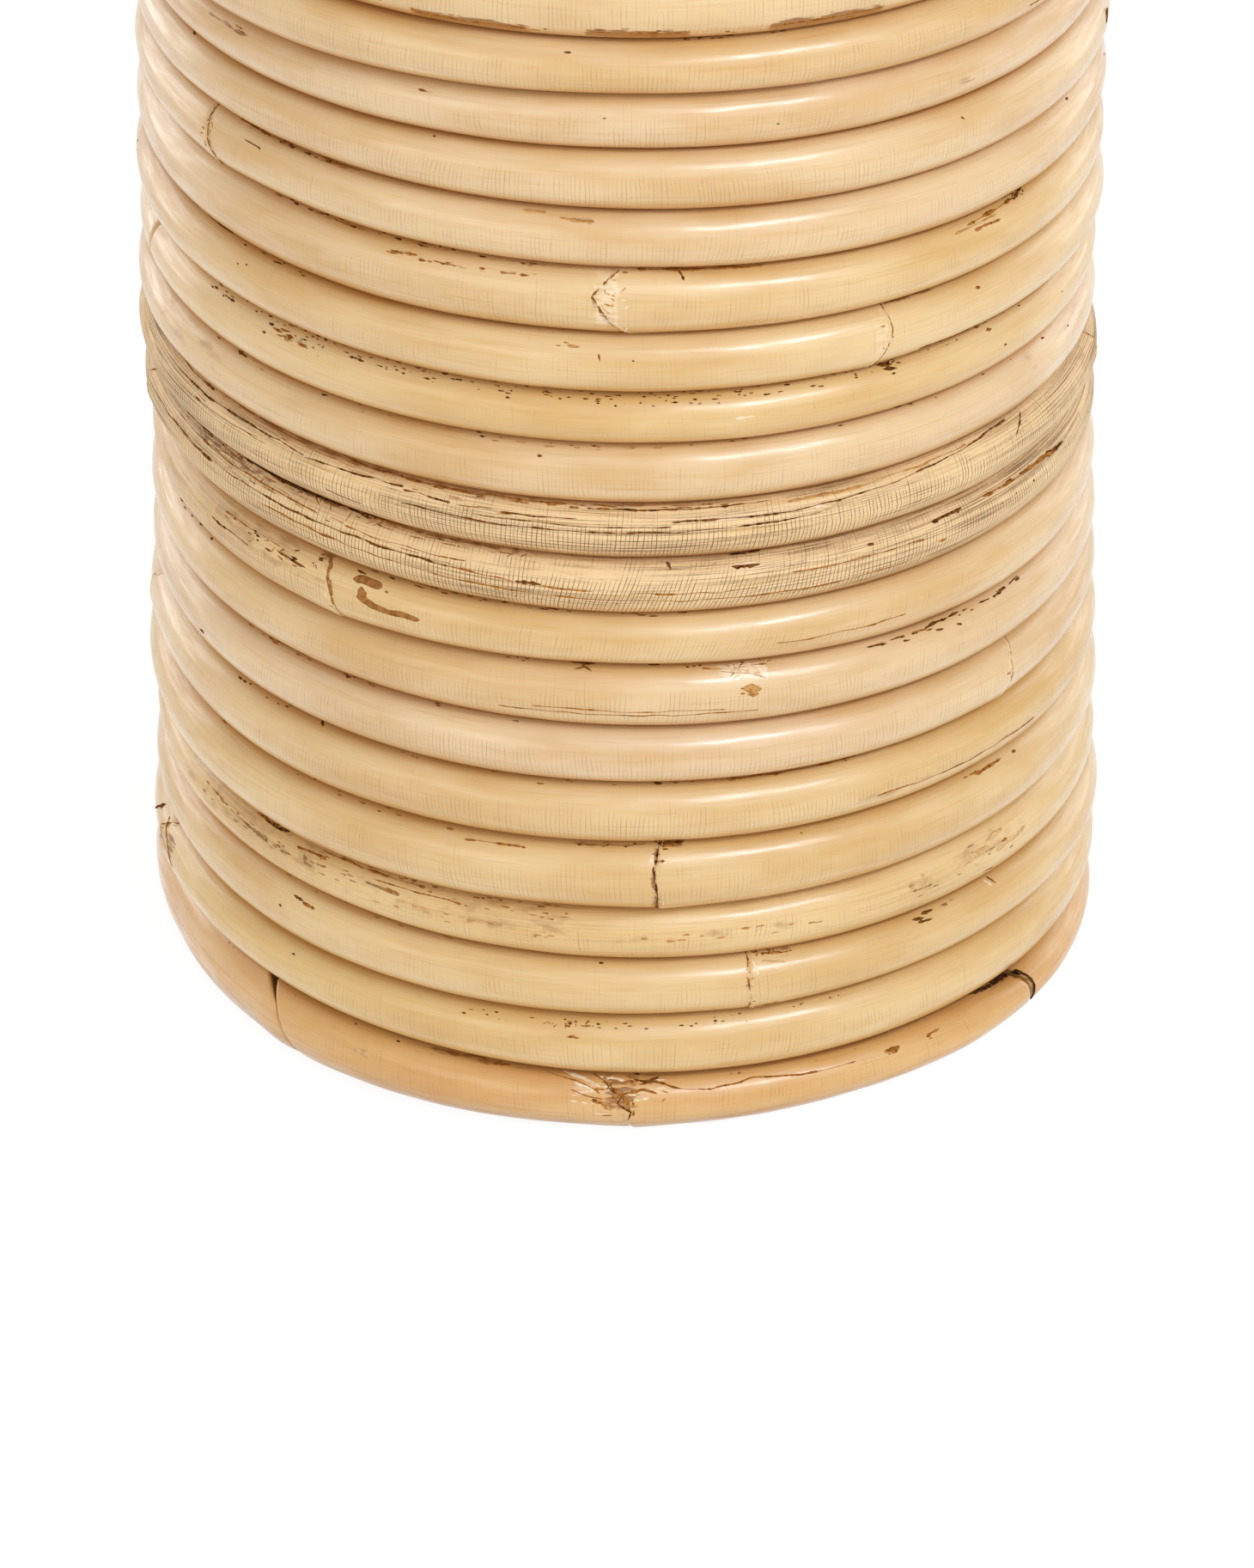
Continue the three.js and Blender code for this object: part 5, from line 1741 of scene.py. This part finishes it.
studio = {
    "floorSize": 12,
    "floor": {"Base Color": tint(108, 108, 108), "Roughness": 0.9, "Specular IOR Level": 0.1,
              "Emission Color": (1, 1, 1, 1), "Emission Strength": 0.9},
    "world": 0.63,
    "cool": (0.81, 0.88, 1), "neutral": (1, 1, 1), "warm": (1, 0.95, 0.86),
    # softboxes: azimuth and elevation seen from the vase, distance, width, height, power, colour
    "lights": [
        (38, 41, 1.4, 0.66, 0.22, 7, "cool"),
        (26, 35, 1.5, 1.5, 1.1, 6.3, "cool"),
        (-126, 10, 1.4, 0.7, 1.0, 4.8, "neutral"),
        (128, 12, 1.4, 0.6, 1.0, 2.4, "neutral"),
        (40, 75, 1.8, 1.4, 1.4, 2, "cool"),
        (-35, 22, 2.6, 1.8, 1.0, 8.2, "warm"),
    ],
    "aim": (0, 0, 150),
}


def stageFloor():
    size = studio["floorSize"] / 2
    mesh = bpy.data.meshes.new("floor")
    corners = [(-size, -size, 0), (size, -size, 0), (size, size, 0), (-size, size, 0)]
    mesh.from_pydata(corners, [], [(0, 1, 2, 3)])
    mesh.materials.append(newMaterial("floorPaper", studio["floor"])[0])
    floor = bpy.data.objects.new("floor", mesh)
    bpy.context.scene.collection.objects.link(floor)


def softbox(number, azimuth, elevation, distance, width, height, power, colour):
    light = bpy.data.lights.new("softbox%d" % number, "AREA")
    light.shape = "RECTANGLE"
    light.size, light.size_y = width, height
    light.energy = power
    light.color = studio[colour]
    lamp = bpy.data.objects.new(light.name, light)
    rise, turn = math.radians(elevation), math.radians(azimuth)
    level, up = math.cos(rise) * distance, math.sin(rise) * distance
    aim = np.array(studio["aim"]) * mm
    lamp.location = aim + [level * math.sin(turn), -level * math.cos(turn), up]
    lamp.rotation_euler = (math.radians(90 - elevation), 0, turn)
    bpy.context.scene.collection.objects.link(lamp)


def world():
    backdrop = bpy.data.worlds.new("studio")
    bpy.context.scene.world = backdrop
    backdrop.use_nodes = True
    background = backdrop.node_tree.nodes["Background"]
    background.inputs["Color"].default_value = (1, 1, 1, 1)
    background.inputs["Strength"].default_value = studio["world"]


camera = {
    "place": (0, -1214.6, 770.0), "down": 31.585, "turn": -0.0716,
    "focalLength": 148.04, "sensor": 36, "nearest": 0.05, "farthest": 50,
}


def takeCamera():
    data = bpy.data.cameras.new("camera")
    data.sensor_fit = "VERTICAL"
    data.sensor_height = camera["sensor"]
    data.lens = camera["focalLength"]
    data.clip_start, data.clip_end = camera["nearest"], camera["farthest"]
    body = bpy.data.objects.new("camera", data)
    body.location = [value * mm for value in camera["place"]]
    body.rotation_euler = (math.radians(90 - camera["down"]), 0, math.radians(camera["turn"]))
    bpy.context.scene.collection.objects.link(body)
    bpy.context.scene.camera = body


stageFloor()
for number, box in enumerate(studio["lights"]):
    softbox(number + 1, *box)
world()
takeCamera()
bpy.context.scene.view_settings.view_transform = "Standard"
print("stage, lights and camera set")
